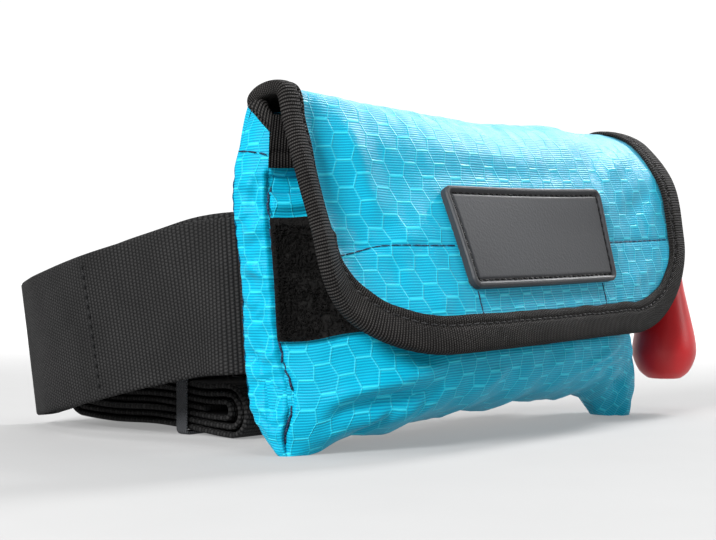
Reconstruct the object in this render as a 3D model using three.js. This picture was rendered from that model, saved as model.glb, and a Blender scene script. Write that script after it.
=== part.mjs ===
import * as THREE from "three";

// Belt pack that stands on the two lower corners of its pouch and on its folded strap.
// Millimetres. X runs across the pack, Y from its front to its back, Z is up.
const gap = 0.3;
const probe = 0.05;

// Pouch: bag with a flat back, a bulging front, narrow ends and an open mouth
const pouchWall = 1.3;
const mouthHeight = 78;
const rightPower = 5.2;
const endPuff = 0.8;
const pouchColumns = 20;
const outerLevels = [0, 2, 4, 7, 10, 16, 22, 30, 40, 52, 60, 66.5, 72.25, 78];
const innerLevels = [78, 72.25, 66.5, 60, 52, 40, 30, 22, 16, 11, 8];
const pouchLevels = [
  { z: 0, frontY: 0.2, backY: 1.6, bulge: 8, backBulge: 8, half: 71.4, swell: 0.3, rise: 0, leftPower: 4 },
  { z: 4, frontY: 0.4, backY: 4.6, bulge: 17, backBulge: 4, half: 72.4, swell: 1, rise: 0, leftPower: 4 },
  { z: 10, frontY: -0.8, backY: 8.7, bulge: 21, backBulge: 1, half: 73, swell: 1.4, rise: 0, leftPower: 4 },
  { z: 16, frontY: -0.8, backY: 10.8, bulge: 22, backBulge: 0, half: 73.2, swell: 1, rise: 0, leftPower: 4 },
  { z: 22, frontY: 0.8, backY: 12, bulge: 21.8, backBulge: 0, half: 73.4, swell: 0.6, rise: 0, leftPower: 4 },
  { z: 30, frontY: 1.8, backY: 12.6, bulge: 20.4, backBulge: 0, half: 73.6, swell: 0.4, rise: 0, leftPower: 4 },
  { z: 40, frontY: 2.6, backY: 12.8, bulge: 19.4, backBulge: 0, half: 73.6, swell: 0.6, rise: 0, leftPower: 3.6 },
  { z: 52, frontY: 3.6, backY: 13, bulge: 18, backBulge: 0, half: 73.8, swell: 2.2, rise: 0, leftPower: 3 },
  { z: 62, frontY: 4, backY: 13, bulge: 15.2, backBulge: 0, half: 74, swell: 3, rise: 0, leftPower: 2.4 },
  { z: 70, frontY: 3.8, backY: 12.2, bulge: 11.4, backBulge: 0, half: 73.6, swell: 2.4, rise: 1, leftPower: 2 },
  { z: 78, frontY: 3.2, backY: 10.2, bulge: 7, backBulge: 0, half: 73, swell: 1.4, rise: 3, leftPower: 2 },
];

// Lower edge of the pouch: lifted between its two corners
const archRows = [
  { u: -1, z: 0 },
  { u: -0.84, z: 0.7 },
  { u: -0.58, z: 2.8 },
  { u: -0.2, z: 6.6 },
  { u: 0.25, z: 7.5 },
  { u: 0.62, z: 7.2 },
  { u: 0.84, z: 4 },
  { u: 1, z: 0 },
];

// Tape folded over the mouth edge of the front and the ends
const tapeThick = 0.8;
const mouthTapeLeg = 11.5;
const endTapeLeg = 2.5;

// Flap: cloth from the back seam over the mouth and down the front, s along the cloth.
// Columns across it: left edge, inner edge of the left tape, two middle lines, right edge.
const flapThick = 1.2;
const flapCentreX = 2.5;
const flapHalf = 76.4;
const flapLength = 92;
const flapCornerTall = 25;
const flapCornerWide = 33;
const flapColumns = 20;
const columnPower = 1.6;
const flapSideRows = 17;
const flapCornerRows = 8;
const hemU = -0.87;
const middleU = 0.45;
const flapRows = [
  { s: 0, edgeY: 13.6, hemY: 13.6, leftY: 13.6, rightY: 13.6, endY: 13.6, edgeZ: 68.5, midZ: 68.5, endZ: 68.5 },
  { s: 13, edgeY: 11.9, hemY: 11.8, leftY: 11.8, rightY: 11.8, endY: 11.8, edgeZ: 81.2, midZ: 81, endZ: 81.2 },
  { s: 20, edgeY: 7.4, hemY: 6.8, leftY: 6.2, rightY: 6.2, endY: 6.8, edgeZ: 84.8, midZ: 83.4, endZ: 85 },
  { s: 28, edgeY: -0.2, hemY: -0.4, leftY: -1.4, rightY: -1.8, endY: -0.6, edgeZ: 84.3, midZ: 82.4, endZ: 84.4 },
  { s: 36, edgeY: -2.8, hemY: -2.4, leftY: -7, rightY: -8.4, endY: -7.4, edgeZ: 76.8, midZ: 77.6, endZ: 80.6 },
  { s: 50, edgeY: -7.5, hemY: -4.4, leftY: -12.2, rightY: -15, endY: -16, edgeZ: 63.6, midZ: 65.2, endZ: 69.5 },
  { s: 65, edgeY: -12.6, hemY: -9.2, leftY: -18, rightY: -18.6, endY: -19.1, edgeZ: 49.5, midZ: 51.2, endZ: 54.7 },
  { s: 80, edgeY: -15.6, hemY: -14.8, leftY: -23.4, rightY: -21.8, endY: -20.4, edgeZ: 34.8, midZ: 37, endZ: 39.8 },
  { s: 88, edgeY: -17, hemY: -18, leftY: -25.6, rightY: -23.2, endY: -20.4, edgeZ: 27, midZ: 29.4, endZ: 31.8 },
  { s: 94, edgeY: -17.6, hemY: -20, leftY: -26.6, rightY: -24, endY: -20, edgeZ: 21.2, midZ: 23.8, endZ: 25.8 },
];

// Tape folded over the sides and the lower edge of the flap
const flapTapeLeg = 8;
const rolledTapeLeg = 4.5;
const rolledTapeTo = 46;
const flapTapeFrom = 4;
const flapTapeSteps = 10;

// Touch fastener strip on the front
const stripThick = 1.5;
const stripLow = 26.5;
const stripHigh = 55;
const stripReach = 0.998;

// Rubber patch with a raised rim
const patchHalf = 33.6;
const patchCentreX = 1.4;
const patchFrom = 51.4;
const patchTo = 77.8;
const patchThick = 1.7;
const patchRim = 0.5;
const patchRimWide = 1.5;
const patchCorner = 2.5;

// Belt tunnel on the back
const sleeveHalf = 56;
const sleeveThick = 1;
const sleeveStand = 16.6;
const sleeveSeam = 1.4;
const sleeveRows = [
  { z: 13, lift: 0 },
  { z: 16, lift: 0 },
  { z: 17.1, lift: 0.9 },
  { z: 18.6, lift: 1 },
  { z: 38, lift: 1 },
  { z: 57.4, lift: 1 },
  { z: 58.9, lift: 0.9 },
  { z: 60.5, lift: 0 },
  { z: 65, lift: 0 },
];

// Webbing of the belt and of its surplus
const webWide = 38;
const webThick = 1.5;
const beltSteps = 100;
const beltRows = [
  { x: 14.4, y: 22.6, z: 38, lean: 0 },
  { x: 40, y: 22.8, z: 38, lean: 0 },
  { x: 60, y: 22.6, z: 38, lean: 0 },
  { x: 67.5, y: 21.4, z: 38, lean: 0 },
  { x: 70.2, y: 18.6, z: 38, lean: 0 },
  { x: 67.5, y: 15.9, z: 38, lean: 0 },
  { x: 60, y: 14.9, z: 38, lean: 0 },
  { x: 30, y: 14.8, z: 38, lean: 0 },
  { x: -10, y: 14.8, z: 38, lean: 0 },
  { x: -44, y: 14.8, z: 38, lean: 0 },
  { x: -57, y: 15.4, z: 37.6, lean: 0 },
  { x: -64, y: 18.6, z: 37.2, lean: 0.04 },
  { x: -66.8, y: 25, z: 36.8, lean: 0.08 },
  { x: -68.5, y: 34, z: 36, lean: 0.12 },
  { x: -72.5, y: 50, z: 32.5, lean: 0.17 },
  { x: -75, y: 66, z: 28.8, lean: 0.19 },
  { x: -74, y: 82, z: 25.6, lean: 0.2 },
  { x: -69, y: 98, z: 22.8, lean: 0.2 },
  { x: -64.6, y: 107.4, z: 21.4, lean: 0.2 },
  { x: -62, y: 110.2, z: 21, lean: 0.2 },
  { x: -59.6, y: 109.4, z: 21.1, lean: 0.2 },
  { x: -59.8, y: 105.6, z: 21.7, lean: 0.2 },
  { x: -64, y: 97, z: 23.2, lean: 0.2 },
  { x: -68.6, y: 82, z: 26.2, lean: 0.2 },
  { x: -69.8, y: 66, z: 29.8, lean: 0.19 },
  { x: -67.5, y: 50, z: 34.2, lean: 0.17 },
  { x: -63.2, y: 36, z: 38, lean: 0.1 },
  { x: -58, y: 28, z: 39, lean: 0.04 },
  { x: -50, y: 24, z: 38.8, lean: 0 },
  { x: -38, y: 22.8, z: 38.2, lean: 0 },
  { x: -12.4, y: 22.6, z: 38, lean: 0 },
];

// Fastened clasp behind the pouch
const buckleFrom = -12;
const buckleTo = 14;
const buckleTall = 42;
const buckleDeep = 5;
const buckleRound = 4;
const buckleBevel = 0.6;
const buckleY = 22.6;
const buckleZ = 38;

// Surplus webbing: a turning lead from the clasp, then a flat roll, each turn round the one inside it
const leadRows = [
  { x: -4, y: 27.4, z: 38, acrossX: 0, acrossZ: 1 },
  { x: -14, y: 27.8, z: 37.6, acrossX: 0, acrossZ: 1 },
  { x: -25, y: 31, z: 36, acrossX: -0.3, acrossZ: 0.95 },
  { x: -32, y: 39, z: 32, acrossX: -0.75, acrossZ: 0.65 },
  { x: -35.4, y: 52, z: 26.5, acrossX: -0.97, acrossZ: 0.2 },
  { x: -36, y: 68, z: 21.5, acrossX: -1, acrossZ: 0 },
  { x: -36, y: 84, z: 18, acrossX: -1, acrossZ: 0 },
];
const leadSteps = 30;
const hankX = -36;
const layerPitch = 1.9;
const runSteps = 6;
const turnSteps = 8;
const hankRows = [
  { layer: 7, from: 87, to: 97 },
  { layer: 0, from: 97, to: 36.5 },
  { layer: 6, from: 36.5, to: 96.8 },
  { layer: 1, from: 96.8, to: 36.8 },
  { layer: 5, from: 36.8, to: 96.6 },
  { layer: 2, from: 96.6, to: 38.5 },
  { layer: 4, from: 38.5, to: 96.3 },
  { layer: 3, from: 96.3, to: 46 },
];
const bandedLayer = 6;
const hankBase = [
  { y: 26, z: 0 },
  { y: 40, z: 0.3 },
  { y: 54, z: 1.5 },
  { y: 66, z: 2 },
  { y: 84, z: 1.6 },
  { y: 104, z: 2.6 },
];

// Flat band round the surplus
const bandY = 53.7;
const bandWide = 4;
const bandThick = 0.9;
const bandRound = 1.2;
const bandTurnSteps = 5;

// Pull cord and its handle
const cordWide = 2.2;
const cordSides = 4;
const cordSteps = 30;
const cordRows = [
  { x: 62, y: 6.5, z: 60 },
  { x: 65, y: 6.4, z: 71 },
  { x: 67.4, y: 6, z: 78.6 },
  { x: 71.6, y: 4.8, z: 81.6 },
  { x: 76, y: 2.6, z: 81.2 },
  { x: 80.4, y: -2, z: 77 },
  { x: 83.6, y: -7.4, z: 66 },
  { x: 84.9, y: -10.6, z: 54 },
  { x: 85, y: -11, z: 48 },
  { x: 85, y: -11, z: 42.4 },
];
const handleX = 85;
const handleY = -11;
const handleSides = 20;
const handleProfile = [
  { r: 0, z: 10.6 },
  { r: 4.2, z: 10.6 },
  { r: 6.6, z: 11.5 },
  { r: 8.5, z: 13.6 },
  { r: 9.5, z: 16.6 },
  { r: 9.7, z: 19.4 },
  { r: 9.2, z: 24 },
  { r: 8.1, z: 29 },
  { r: 6.9, z: 34 },
  { r: 5.8, z: 39 },
  { r: 5, z: 44 },
  { r: 4.4, z: 46.4 },
  { r: 3.4, z: 47.2 },
  { r: 1.6, z: 47.2 },
  { r: 1.6, z: 42 },
  { r: 0, z: 42 },
];

// Smooth curve through one column of a table, straight on past its ends
function along(table, key, column, at) {
  const last = table.length - 1;
  let row = 0;
  while (row < last - 1 && at > table[row + 1][key]) {
    row += 1;
  }
  const slope = (i) => {
    const before = table[Math.max(i - 1, 0)];
    const after = table[Math.min(i + 1, last)];
    return (after[column] - before[column]) / (after[key] - before[key]);
  };
  const span = table[row + 1][key] - table[row][key];
  const t = (at - table[row][key]) / span;
  const from = table[row][column];
  const to = table[row + 1][column];
  if (t < 0) {
    return from + slope(row) * t * span;
  }
  if (t > 1) {
    return to + slope(row + 1) * (t - 1) * span;
  }
  const bend = (1 - t) * slope(row) - t * slope(row + 1);
  return from + (to - from) * t * t * (3 - 2 * t) + t * (1 - t) * span * bend;
}

// Closed skin over a row of loops, its two open ends capped across each loop
function loft(loops, closed) {
  const size = loops[0].length;
  const points = loops.flat();
  const faces = [];
  const quad = (a, b, c, d) => faces.push(a, b, c, a, c, d);
  const steps = closed ? loops.length : loops.length - 1;
  for (let k = 0; k < steps; k += 1) {
    const here = k * size;
    const next = ((k + 1) % loops.length) * size;
    for (let i = 0; i < size; i += 1) {
      const j = (i + 1) % size;
      quad(here + i, here + j, next + j, next + i);
    }
  }
  if (!closed) {
    const end = (loops.length - 1) * size;
    for (let i = 0; i < size / 2 - 1; i += 1) {
      quad(i, size - 1 - i, size - 2 - i, i + 1);
      quad(end + i, end + i + 1, end + size - 2 - i, end + size - 1 - i);
    }
  }
  let volume = 0;
  const cross = new THREE.Vector3();
  for (let f = 0; f < faces.length; f += 3) {
    cross.crossVectors(points[faces[f + 1]], points[faces[f + 2]]);
    volume += points[faces[f]].dot(cross);
  }
  if (volume < 0) {
    faces.reverse();
  }
  const geometry = new THREE.BufferGeometry();
  geometry.setAttribute("position", new THREE.Float32BufferAttribute(points.flatMap((p) => p.toArray()), 3));
  geometry.setIndex(faces);
  geometry.computeVertexNormals();
  return geometry;
}

// Even steps from one value to another
function steps(from, to, count) {
  return Array.from({ length: count + 1 }, (_, i) => from + ((to - from) * i) / count);
}

// Cloth sheet: one loop for each row, along its outer face and back along its inner face
function sheet(rows, columns, outer, inner) {
  const loops = rows.map((row) => {
    const front = columns.map((column) => outer(column, row));
    const back = columns.map((column) => inner(column, row));
    return front.concat(back.reverse());
  });
  return loft(loops, false);
}

// Ribbon along a row of centre points with the direction of its width at each
function ribbon(path, across, wide, thick, closed) {
  const last = path.length - 1;
  const loops = path.map((centre, i) => {
    const before = closed ? path[(i + last) % path.length] : path[Math.max(i - 1, 0)];
    const after = closed ? path[(i + 1) % path.length] : path[Math.min(i + 1, last)];
    const run = after.clone().sub(before).normalize();
    const side = across[i].clone().addScaledVector(run, -across[i].dot(run)).normalize();
    const face = new THREE.Vector3().crossVectors(run, side);
    const corner = (a, b) => centre.clone().addScaledVector(side, (a * wide) / 2).addScaledVector(face, (b * thick) / 2);
    return [corner(-1, 1), corner(1, 1), corner(1, -1), corner(-1, -1)];
  });
  return loft(loops, closed);
}

function vector(x, y, z) {
  return new THREE.Vector3(x, y, z);
}

// Points on the pouch cloth, inset from its outer face
function level(column, z) {
  return along(pouchLevels, "z", column, z);
}

function lifted(u, z) {
  const arch = along(archRows, "u", "z", u);
  return arch + z * (1 - arch / mouthHeight);
}

function fullness(u, z) {
  return 1 - (u < 0 ? (-u) ** level("leftPower", z) : u ** rightPower);
}

function frontPoint(u, z, inset) {
  const x = u * (level("half", z) - inset);
  const y = level("frontY", z) + inset - level("bulge", z) * fullness(u, z);
  return vector(x, y, lifted(u, z));
}

function backPoint(u, z, inset) {
  const x = u * (level("half", z) + level("swell", z) - inset);
  const y = level("backY", z) - inset - level("backBulge", z) * fullness(u, z);
  return vector(x, y, lifted(u, z) + level("rise", z));
}

function endPoint(side, across, z, inset) {
  const puff = endPuff * Math.sin(Math.PI * across);
  const x = side * (level("half", z) + level("swell", z) * across + puff - inset);
  const front = level("frontY", z) + inset;
  const back = level("backY", z) - inset;
  return vector(x, front + (back - front) * across, z + level("rise", z) * across);
}

const frontColumns = steps(-1, 1, pouchColumns).map((v) => Math.sin((v * Math.PI) / 2));

function pouchLoop(z, inset) {
  const front = frontColumns.map((u) => frontPoint(u, z, inset));
  const back = frontColumns.map((u) => backPoint(u, z, inset));
  return [
    endPoint(-1, 1 / 3, z, inset),
    ...front,
    endPoint(1, 1 / 3, z, inset),
    endPoint(1, 2 / 3, z, inset),
    ...back.reverse(),
    endPoint(-1, 2 / 3, z, inset),
  ];
}

function pouchBody() {
  const outside = outerLevels.map((z) => pouchLoop(z, 0));
  const inside = innerLevels.map((z) => pouchLoop(z, pouchWall));
  return loft(outside.concat(inside), false);
}

// Section of a tape folded over an edge: the outer turn first, then the inner turn back
function foldedTape(leg, clothFrom, clothTo) {
  const near = gap;
  const far = gap + tapeThick;
  return [
    [-leg, clothTo + far],
    [-leg / 2, clothTo + far],
    [0, clothTo + far],
    [far, clothTo + near],
    [far, clothFrom - near],
    [0, clothFrom - far],
    [-leg / 2, clothFrom - far],
    [-leg, clothFrom - far],
    [-leg, clothFrom - near],
    [-leg / 2, clothFrom - near],
    [0, clothFrom - near],
    [near, clothFrom],
    [near, clothTo],
    [0, clothTo + near],
    [-leg / 2, clothTo + near],
    [-leg, clothTo + near],
  ];
}

function mouthBinding() {
  const overFront = foldedTape(mouthTapeLeg, -pouchWall, 0);
  const overEnd = foldedTape(endTapeLeg, -pouchWall, 0);
  const end = (side, across) => overEnd.map(([up, out]) => endPoint(side, across, mouthHeight + up, -out));
  const front = frontColumns.map((u) => overFront.map(([up, out]) => frontPoint(u, mouthHeight + up, -out)));
  const leftEnd = [2 / 3, 1 / 3, 0.06].map((across) => end(-1, across));
  const rightEnd = [0.06, 1 / 3, 2 / 3].map((across) => end(1, across));
  return loft([...leftEnd, ...front, ...rightEnd], false);
}

// Points on the flap: x across and s down the cloth, raised along its outward direction
function flapMiddle(x, s) {
  const u = (x - flapCentreX) / flapHalf;
  const at = (column) => along(flapRows, "s", column, s);
  const depths = [
    { u: -1, y: at("edgeY") },
    { u: hemU, y: at("hemY") },
    { u: -middleU, y: at("leftY") },
    { u: middleU, y: at("rightY") },
    { u: 1, y: at("endY") },
  ];
  const heights = [
    { u: -1, z: at("edgeZ") },
    { u: 0, z: at("midZ") },
    { u: 1, z: at("endZ") },
  ];
  return vector(x, along(depths, "u", "y", u), along(heights, "u", "z", u));
}

function flapPoint(x, s, raised) {
  const alongX = flapMiddle(x + probe, s).sub(flapMiddle(x - probe, s));
  const alongS = flapMiddle(x, s + probe).sub(flapMiddle(x, s - probe));
  const outward = alongS.cross(alongX).normalize();
  return flapMiddle(x, s).addScaledVector(outward, raised);
}

// Rows of a sheet with two rounded corners at its lower edge
function roundedRows(half, to, tall, wide, sideRows, cornerRows) {
  const straight = steps(0, to - tall, sideRows).map((s) => ({ s, half }));
  const turn = steps(0, Math.PI / 2, cornerRows).slice(1);
  const round = turn.map((a) => ({ s: to - tall + tall * Math.sin(a), half: half - wide + wide * Math.cos(a) }));
  return straight.concat(round);
}

function flap() {
  const rows = roundedRows(flapHalf, flapLength, flapCornerTall, flapCornerWide, flapSideRows, flapCornerRows);
  const face = (raised) => (column, row) => flapPoint(flapCentreX + column * row.half, row.s, raised);
  const columns = steps(0, 1, flapColumns).map((v) => 2 * v ** columnPower - 1);
  return sheet(rows, columns, face(flapThick / 2), face(-flapThick / 2));
}

function flapBinding() {
  const section = (leg) => foldedTape(leg, -flapThick / 2, flapThick / 2);
  const turnS = flapLength - flapCornerTall;
  const turnX = flapHalf - flapCornerWide;
  const sides = steps(0, turnS, flapSideRows).slice(flapTapeFrom);
  const rolled = (s) => THREE.MathUtils.smoothstep(s, rolledTapeTo, turnS);
  const leftLeg = (s) => THREE.MathUtils.lerp(rolledTapeLeg, flapTapeLeg, rolled(s));
  const downLeft = sides.map((s) => ({ x: -flapHalf, s, outX: -1, outS: 0, leg: leftLeg(s) }));
  const corner = (side) => (a) => {
    const out = new THREE.Vector2(Math.cos(a) / flapCornerWide, Math.sin(a) / flapCornerTall).normalize();
    const x = side * (turnX + flapCornerWide * Math.cos(a));
    return { x, s: turnS + flapCornerTall * Math.sin(a), outX: side * out.x, outS: out.y, leg: flapTapeLeg };
  };
  const quarter = steps(0, Math.PI / 2, flapCornerRows);
  const leftTurn = quarter.slice(1).map(corner(-1));
  const lower = steps(-turnX, turnX, flapTapeSteps).slice(1, -1).map((x) => ({ x, s: flapLength, outX: 0, outS: 1, leg: flapTapeLeg }));
  const rightTurn = quarter.map(corner(1)).reverse();
  const upRight = downLeft.slice(0, -1).map((p) => ({ x: flapHalf, s: p.s, outX: 1, outS: 0, leg: flapTapeLeg })).reverse();
  const edge = [...downLeft, ...leftTurn, ...lower, ...rightTurn, ...upRight];
  const place = (p, out, raised) => flapPoint(flapCentreX + p.x + p.outX * out, p.s + p.outS * out, raised);
  return loft(edge.map((p) => section(p.leg).map(([out, raised]) => place(p, out, raised))), false);
}

// Points on the front panel, raised along its outward direction
function raisedFront(u, z, raised) {
  const alongU = frontPoint(u + probe / mouthHeight, z, 0).sub(frontPoint(u - probe / mouthHeight, z, 0));
  const alongZ = frontPoint(u, z + probe, 0).sub(frontPoint(u, z - probe, 0));
  const outward = alongU.cross(alongZ).normalize();
  return frontPoint(u, z, 0).addScaledVector(outward, raised);
}

function loopStrip() {
  const face = (raised) => (u, z) => raisedFront(u * stripReach, z, raised);
  return sheet(steps(stripLow, stripHigh, 5), frontColumns, face(gap + stripThick), face(gap));
}

function rubberPatch() {
  const base = flapThick / 2 + gap;
  const rim = patchRimWide / patchHalf;
  const columns = [-1, rim - 1, 1.4 * rim - 1, -0.5, 0, 0.5, 1 - 1.4 * rim, 1 - rim, 1];
  const lower = roundedRows(patchHalf, (patchTo - patchFrom) / 2, patchCorner, patchCorner, 4, 4);
  const middleS = (patchFrom + patchTo) / 2;
  const upper = lower.slice(1).reverse().map((row) => ({ s: middleS - row.s, half: row.half }));
  const rows = upper.concat(lower.map((row) => ({ s: middleS + row.s, half: row.half })));
  const reach = (patchTo - patchFrom) / 2 - patchRimWide;
  const onRim = (column, row) => Math.abs(column) > 1 - 1.2 * rim || Math.abs(row.s - middleS) > reach;
  const top = (column, row) => base + patchThick + (onRim(column, row) ? patchRim : 0);
  const outer = (column, row) => flapPoint(patchCentreX + column * row.half, row.s, top(column, row));
  const inner = (column, row) => flapPoint(patchCentreX + column * row.half, row.s, base);
  return sheet(rows, columns, outer, inner);
}

// Sleeve cloth: sewn to the back along two lines and standing clear between them
function backSleeve() {
  const panelY = (u, z) => {
    const arch = along(archRows, "u", "z", u);
    const flat = (z - arch) / (1 - arch / mouthHeight);
    return level("backY", flat) - level("backBulge", flat) * fullness(u, flat);
  };
  const middle = (x, row) => {
    const seam = panelY(x / level("half", row.z), row.z) + sleeveSeam;
    return vector(x, seam + (sleeveStand - seam) * row.lift, row.z);
  };
  const face = (raised) => (x, row) => {
    const i = sleeveRows.indexOf(row);
    const before = middle(x, sleeveRows[Math.max(i - 1, 0)]);
    const after = middle(x, sleeveRows[Math.min(i + 1, sleeveRows.length - 1)]);
    const run = after.sub(before).normalize();
    return middle(x, row).add(vector(0, run.z * raised, -run.y * raised));
  };
  return sheet(sleeveRows, steps(-sleeveHalf, sleeveHalf, 10), face(sleeveThick / 2), face(-sleeveThick / 2));
}

function curve(rows) {
  return new THREE.CatmullRomCurve3(rows.map((row) => vector(row.x, row.y, row.z)), false, "centripetal");
}

// One column of a table at even steps from its first row to its last
function blended(rows, column, count) {
  return steps(0, rows.length - 1, count).map((at) => {
    const row = Math.min(Math.floor(at), rows.length - 2);
    return rows[row][column] + (rows[row + 1][column] - rows[row][column]) * (at - row);
  });
}

function beltStrap() {
  const path = curve(beltRows).getPoints(beltSteps);
  const across = blended(beltRows, "lean", beltSteps).map((lean) => vector(0, lean, 1));
  return ribbon(path, across, webWide, webThick, false);
}

function beltBuckle() {
  const x0 = buckleFrom + buckleBevel;
  const x1 = buckleTo - buckleBevel;
  const z1 = buckleTall / 2 - buckleBevel;
  const outline = new THREE.Shape();
  outline.moveTo(x0 + buckleRound, -z1);
  outline.lineTo(x1 - buckleRound, -z1);
  outline.quadraticCurveTo(x1, -z1, x1, buckleRound - z1);
  outline.lineTo(x1, z1 - buckleRound);
  outline.quadraticCurveTo(x1, z1, x1 - buckleRound, z1);
  outline.lineTo(x0 + buckleRound, z1);
  outline.quadraticCurveTo(x0, z1, x0, z1 - buckleRound);
  outline.lineTo(x0, buckleRound - z1);
  outline.quadraticCurveTo(x0, -z1, x0 + buckleRound, -z1);
  const body = new THREE.ExtrudeGeometry(outline, {
    depth: buckleDeep - 2 * buckleBevel,
    bevelEnabled: true,
    bevelThickness: buckleBevel,
    bevelSize: buckleBevel,
    bevelSegments: 2,
    curveSegments: 5,
  });
  body.translate(0, 0, buckleBevel - buckleDeep / 2);
  body.rotateX(Math.PI / 2);
  body.translate(0, buckleY, buckleZ);
  return body;
}

// Flat layers of the hank from the outer turn inward, with a round turn between each two
function hankPoint(y, layer) {
  const z = along(hankBase, "y", "z", y) + webThick / 2 + layer * layerPitch;
  return vector(hankX, y, z);
}

function hankPath() {
  const path = [];
  hankRows.forEach((row, i) => {
    const run = steps(row.from, row.to, runSteps).map((y) => hankPoint(y, row.layer));
    path.push(...run.slice(i === 0 ? 1 : 0));
    if (i < hankRows.length - 1) {
      const sign = Math.sign(row.to - row.from);
      const half = (row.layer - hankRows[i + 1].layer) / 2;
      const turn = steps(0, Math.PI, turnSteps).slice(1, -1);
      const bend = turn.map((a) => {
        const y = row.to + sign * Math.abs(half) * layerPitch * Math.sin(a);
        return hankPoint(y, row.layer - half * (1 - Math.cos(a)));
      });
      path.push(...bend);
    }
  });
  return path;
}

function beltTail() {
  const lead = curve(leadRows).getPoints(leadSteps);
  const acrossX = blended(leadRows, "acrossX", leadSteps);
  const acrossZ = blended(leadRows, "acrossZ", leadSteps);
  const leadAcross = acrossX.map((x, i) => vector(x, 0, acrossZ[i]));
  const hank = hankPath();
  const hankAcross = hank.map(() => vector(-1, 0, 0));
  return ribbon(lead.concat(hank), leadAcross.concat(hankAcross), webWide, webThick, false);
}

function tailBand() {
  const halfX = webWide / 2 + gap + bandThick / 2;
  const low = bandThick / 2;
  const high = hankPoint(bandY, bandedLayer).z + webThick / 2 + gap + bandThick / 2;
  const turn = steps(0, Math.PI / 2, bandTurnSteps);
  const corner = (x, z, start) => turn.map((a) => {
    const angle = start + a;
    return vector(hankX + x + bandRound * Math.cos(angle), bandY, z + bandRound * Math.sin(angle));
  });
  const inX = halfX - bandRound;
  const path = [
    ...corner(inX, high - bandRound, 0),
    ...corner(-inX, high - bandRound, Math.PI / 2),
    ...corner(-inX, low + bandRound, Math.PI),
    ...corner(inX, low + bandRound, 1.5 * Math.PI),
  ];
  return ribbon(path, path.map(() => vector(0, 1, 0)), bandWide, bandThick, true);
}

function pullCord() {
  const round = new THREE.Shape();
  round.absarc(0, 0, cordWide / 2, 0, 2 * Math.PI);
  return new THREE.ExtrudeGeometry(round, {
    steps: cordSteps,
    curveSegments: cordSides,
    extrudePath: curve(cordRows),
  });
}

function pullHandle() {
  const profile = handleProfile.map((row) => new THREE.Vector2(row.r, row.z));
  const body = new THREE.LatheGeometry(profile, handleSides);
  body.rotateX(Math.PI / 2);
  body.translate(handleX, handleY, 0);
  return body;
}

const pieces = [
  { name: "pouch_body", shape: pouchBody(), colour: 0x1f9fd0, roughness: 0.55 },
  { name: "mouth_binding", shape: mouthBinding(), colour: 0x17181a, roughness: 0.85 },
  { name: "flap", shape: flap(), colour: 0x1f9fd0, roughness: 0.55 },
  { name: "flap_binding", shape: flapBinding(), colour: 0x17181a, roughness: 0.85 },
  { name: "loop_strip", shape: loopStrip(), colour: 0x0c0c0d, roughness: 1 },
  { name: "rubber_patch", shape: rubberPatch(), colour: 0x26282b, roughness: 0.6 },
  { name: "back_sleeve", shape: backSleeve(), colour: 0x17181a, roughness: 0.85 },
  { name: "belt_strap", shape: beltStrap(), colour: 0x1b1b1d, roughness: 0.8 },
  { name: "belt_buckle", shape: beltBuckle(), colour: 0x141416, roughness: 0.45 },
  { name: "belt_tail", shape: beltTail(), colour: 0x1b1b1d, roughness: 0.8 },
  { name: "tail_band", shape: tailBand(), colour: 0x3a3c40, roughness: 0.7 },
  { name: "pull_cord", shape: pullCord(), colour: 0x17181a, roughness: 0.8 },
  { name: "pull_handle", shape: pullHandle(), colour: 0xa8141b, roughness: 0.4 },
];

const pack = new THREE.Group();
pack.name = "belt_pack";
for (const piece of pieces) {
  const material = new THREE.MeshStandardMaterial({ color: piece.colour, roughness: piece.roughness, metalness: 0 });
  const mesh = new THREE.Mesh(piece.shape, material);
  mesh.name = piece.name;
  pack.add(mesh);
}

// The middle of the pack's underside is the origin
const whole = new THREE.Box3().setFromObject(pack);
const centre = whole.getCenter(new THREE.Vector3());
for (const mesh of pack.children) {
  mesh.geometry.translate(-centre.x, -centre.y, -whole.min.z);
}

export default pack;
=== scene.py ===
import math

import bpy
import numpy as np
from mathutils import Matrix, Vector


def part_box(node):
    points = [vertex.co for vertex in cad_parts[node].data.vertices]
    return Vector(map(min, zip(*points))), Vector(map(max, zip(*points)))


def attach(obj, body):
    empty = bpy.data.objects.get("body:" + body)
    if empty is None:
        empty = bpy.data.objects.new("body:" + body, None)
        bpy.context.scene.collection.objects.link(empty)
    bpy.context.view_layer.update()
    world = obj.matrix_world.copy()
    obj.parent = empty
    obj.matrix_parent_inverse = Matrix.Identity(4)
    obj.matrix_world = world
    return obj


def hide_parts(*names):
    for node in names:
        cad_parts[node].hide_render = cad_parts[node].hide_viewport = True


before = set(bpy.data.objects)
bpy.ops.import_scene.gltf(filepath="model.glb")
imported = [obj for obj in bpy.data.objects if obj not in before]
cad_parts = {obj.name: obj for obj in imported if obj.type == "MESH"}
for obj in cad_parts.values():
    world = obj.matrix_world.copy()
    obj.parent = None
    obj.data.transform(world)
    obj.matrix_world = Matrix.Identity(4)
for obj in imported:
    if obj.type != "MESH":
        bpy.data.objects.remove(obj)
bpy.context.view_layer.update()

# Camera: level with the middle of the pouch, off its left front corner, with a long lens.
# Lengths below are millimetres from the drawing's zero, which is found from the handle's axis.
mm = 0.001
handle_x, handle_y = 85.0, -11.0
handle_low, handle_high = (np.array(corner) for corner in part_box("pull_handle"))
handle_axis = (handle_low + handle_high)[:2] / 2
drawing_zero = np.append(handle_axis - np.array([handle_x, handle_y]) * mm, 0.0)
view_turn = math.radians(49)


def metres(points):
    """Drawing millimetres to frame metres: scaled by a thousandth and moved by the drawing's zero."""
    return np.asarray(points, float) * mm + drawing_zero


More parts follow.
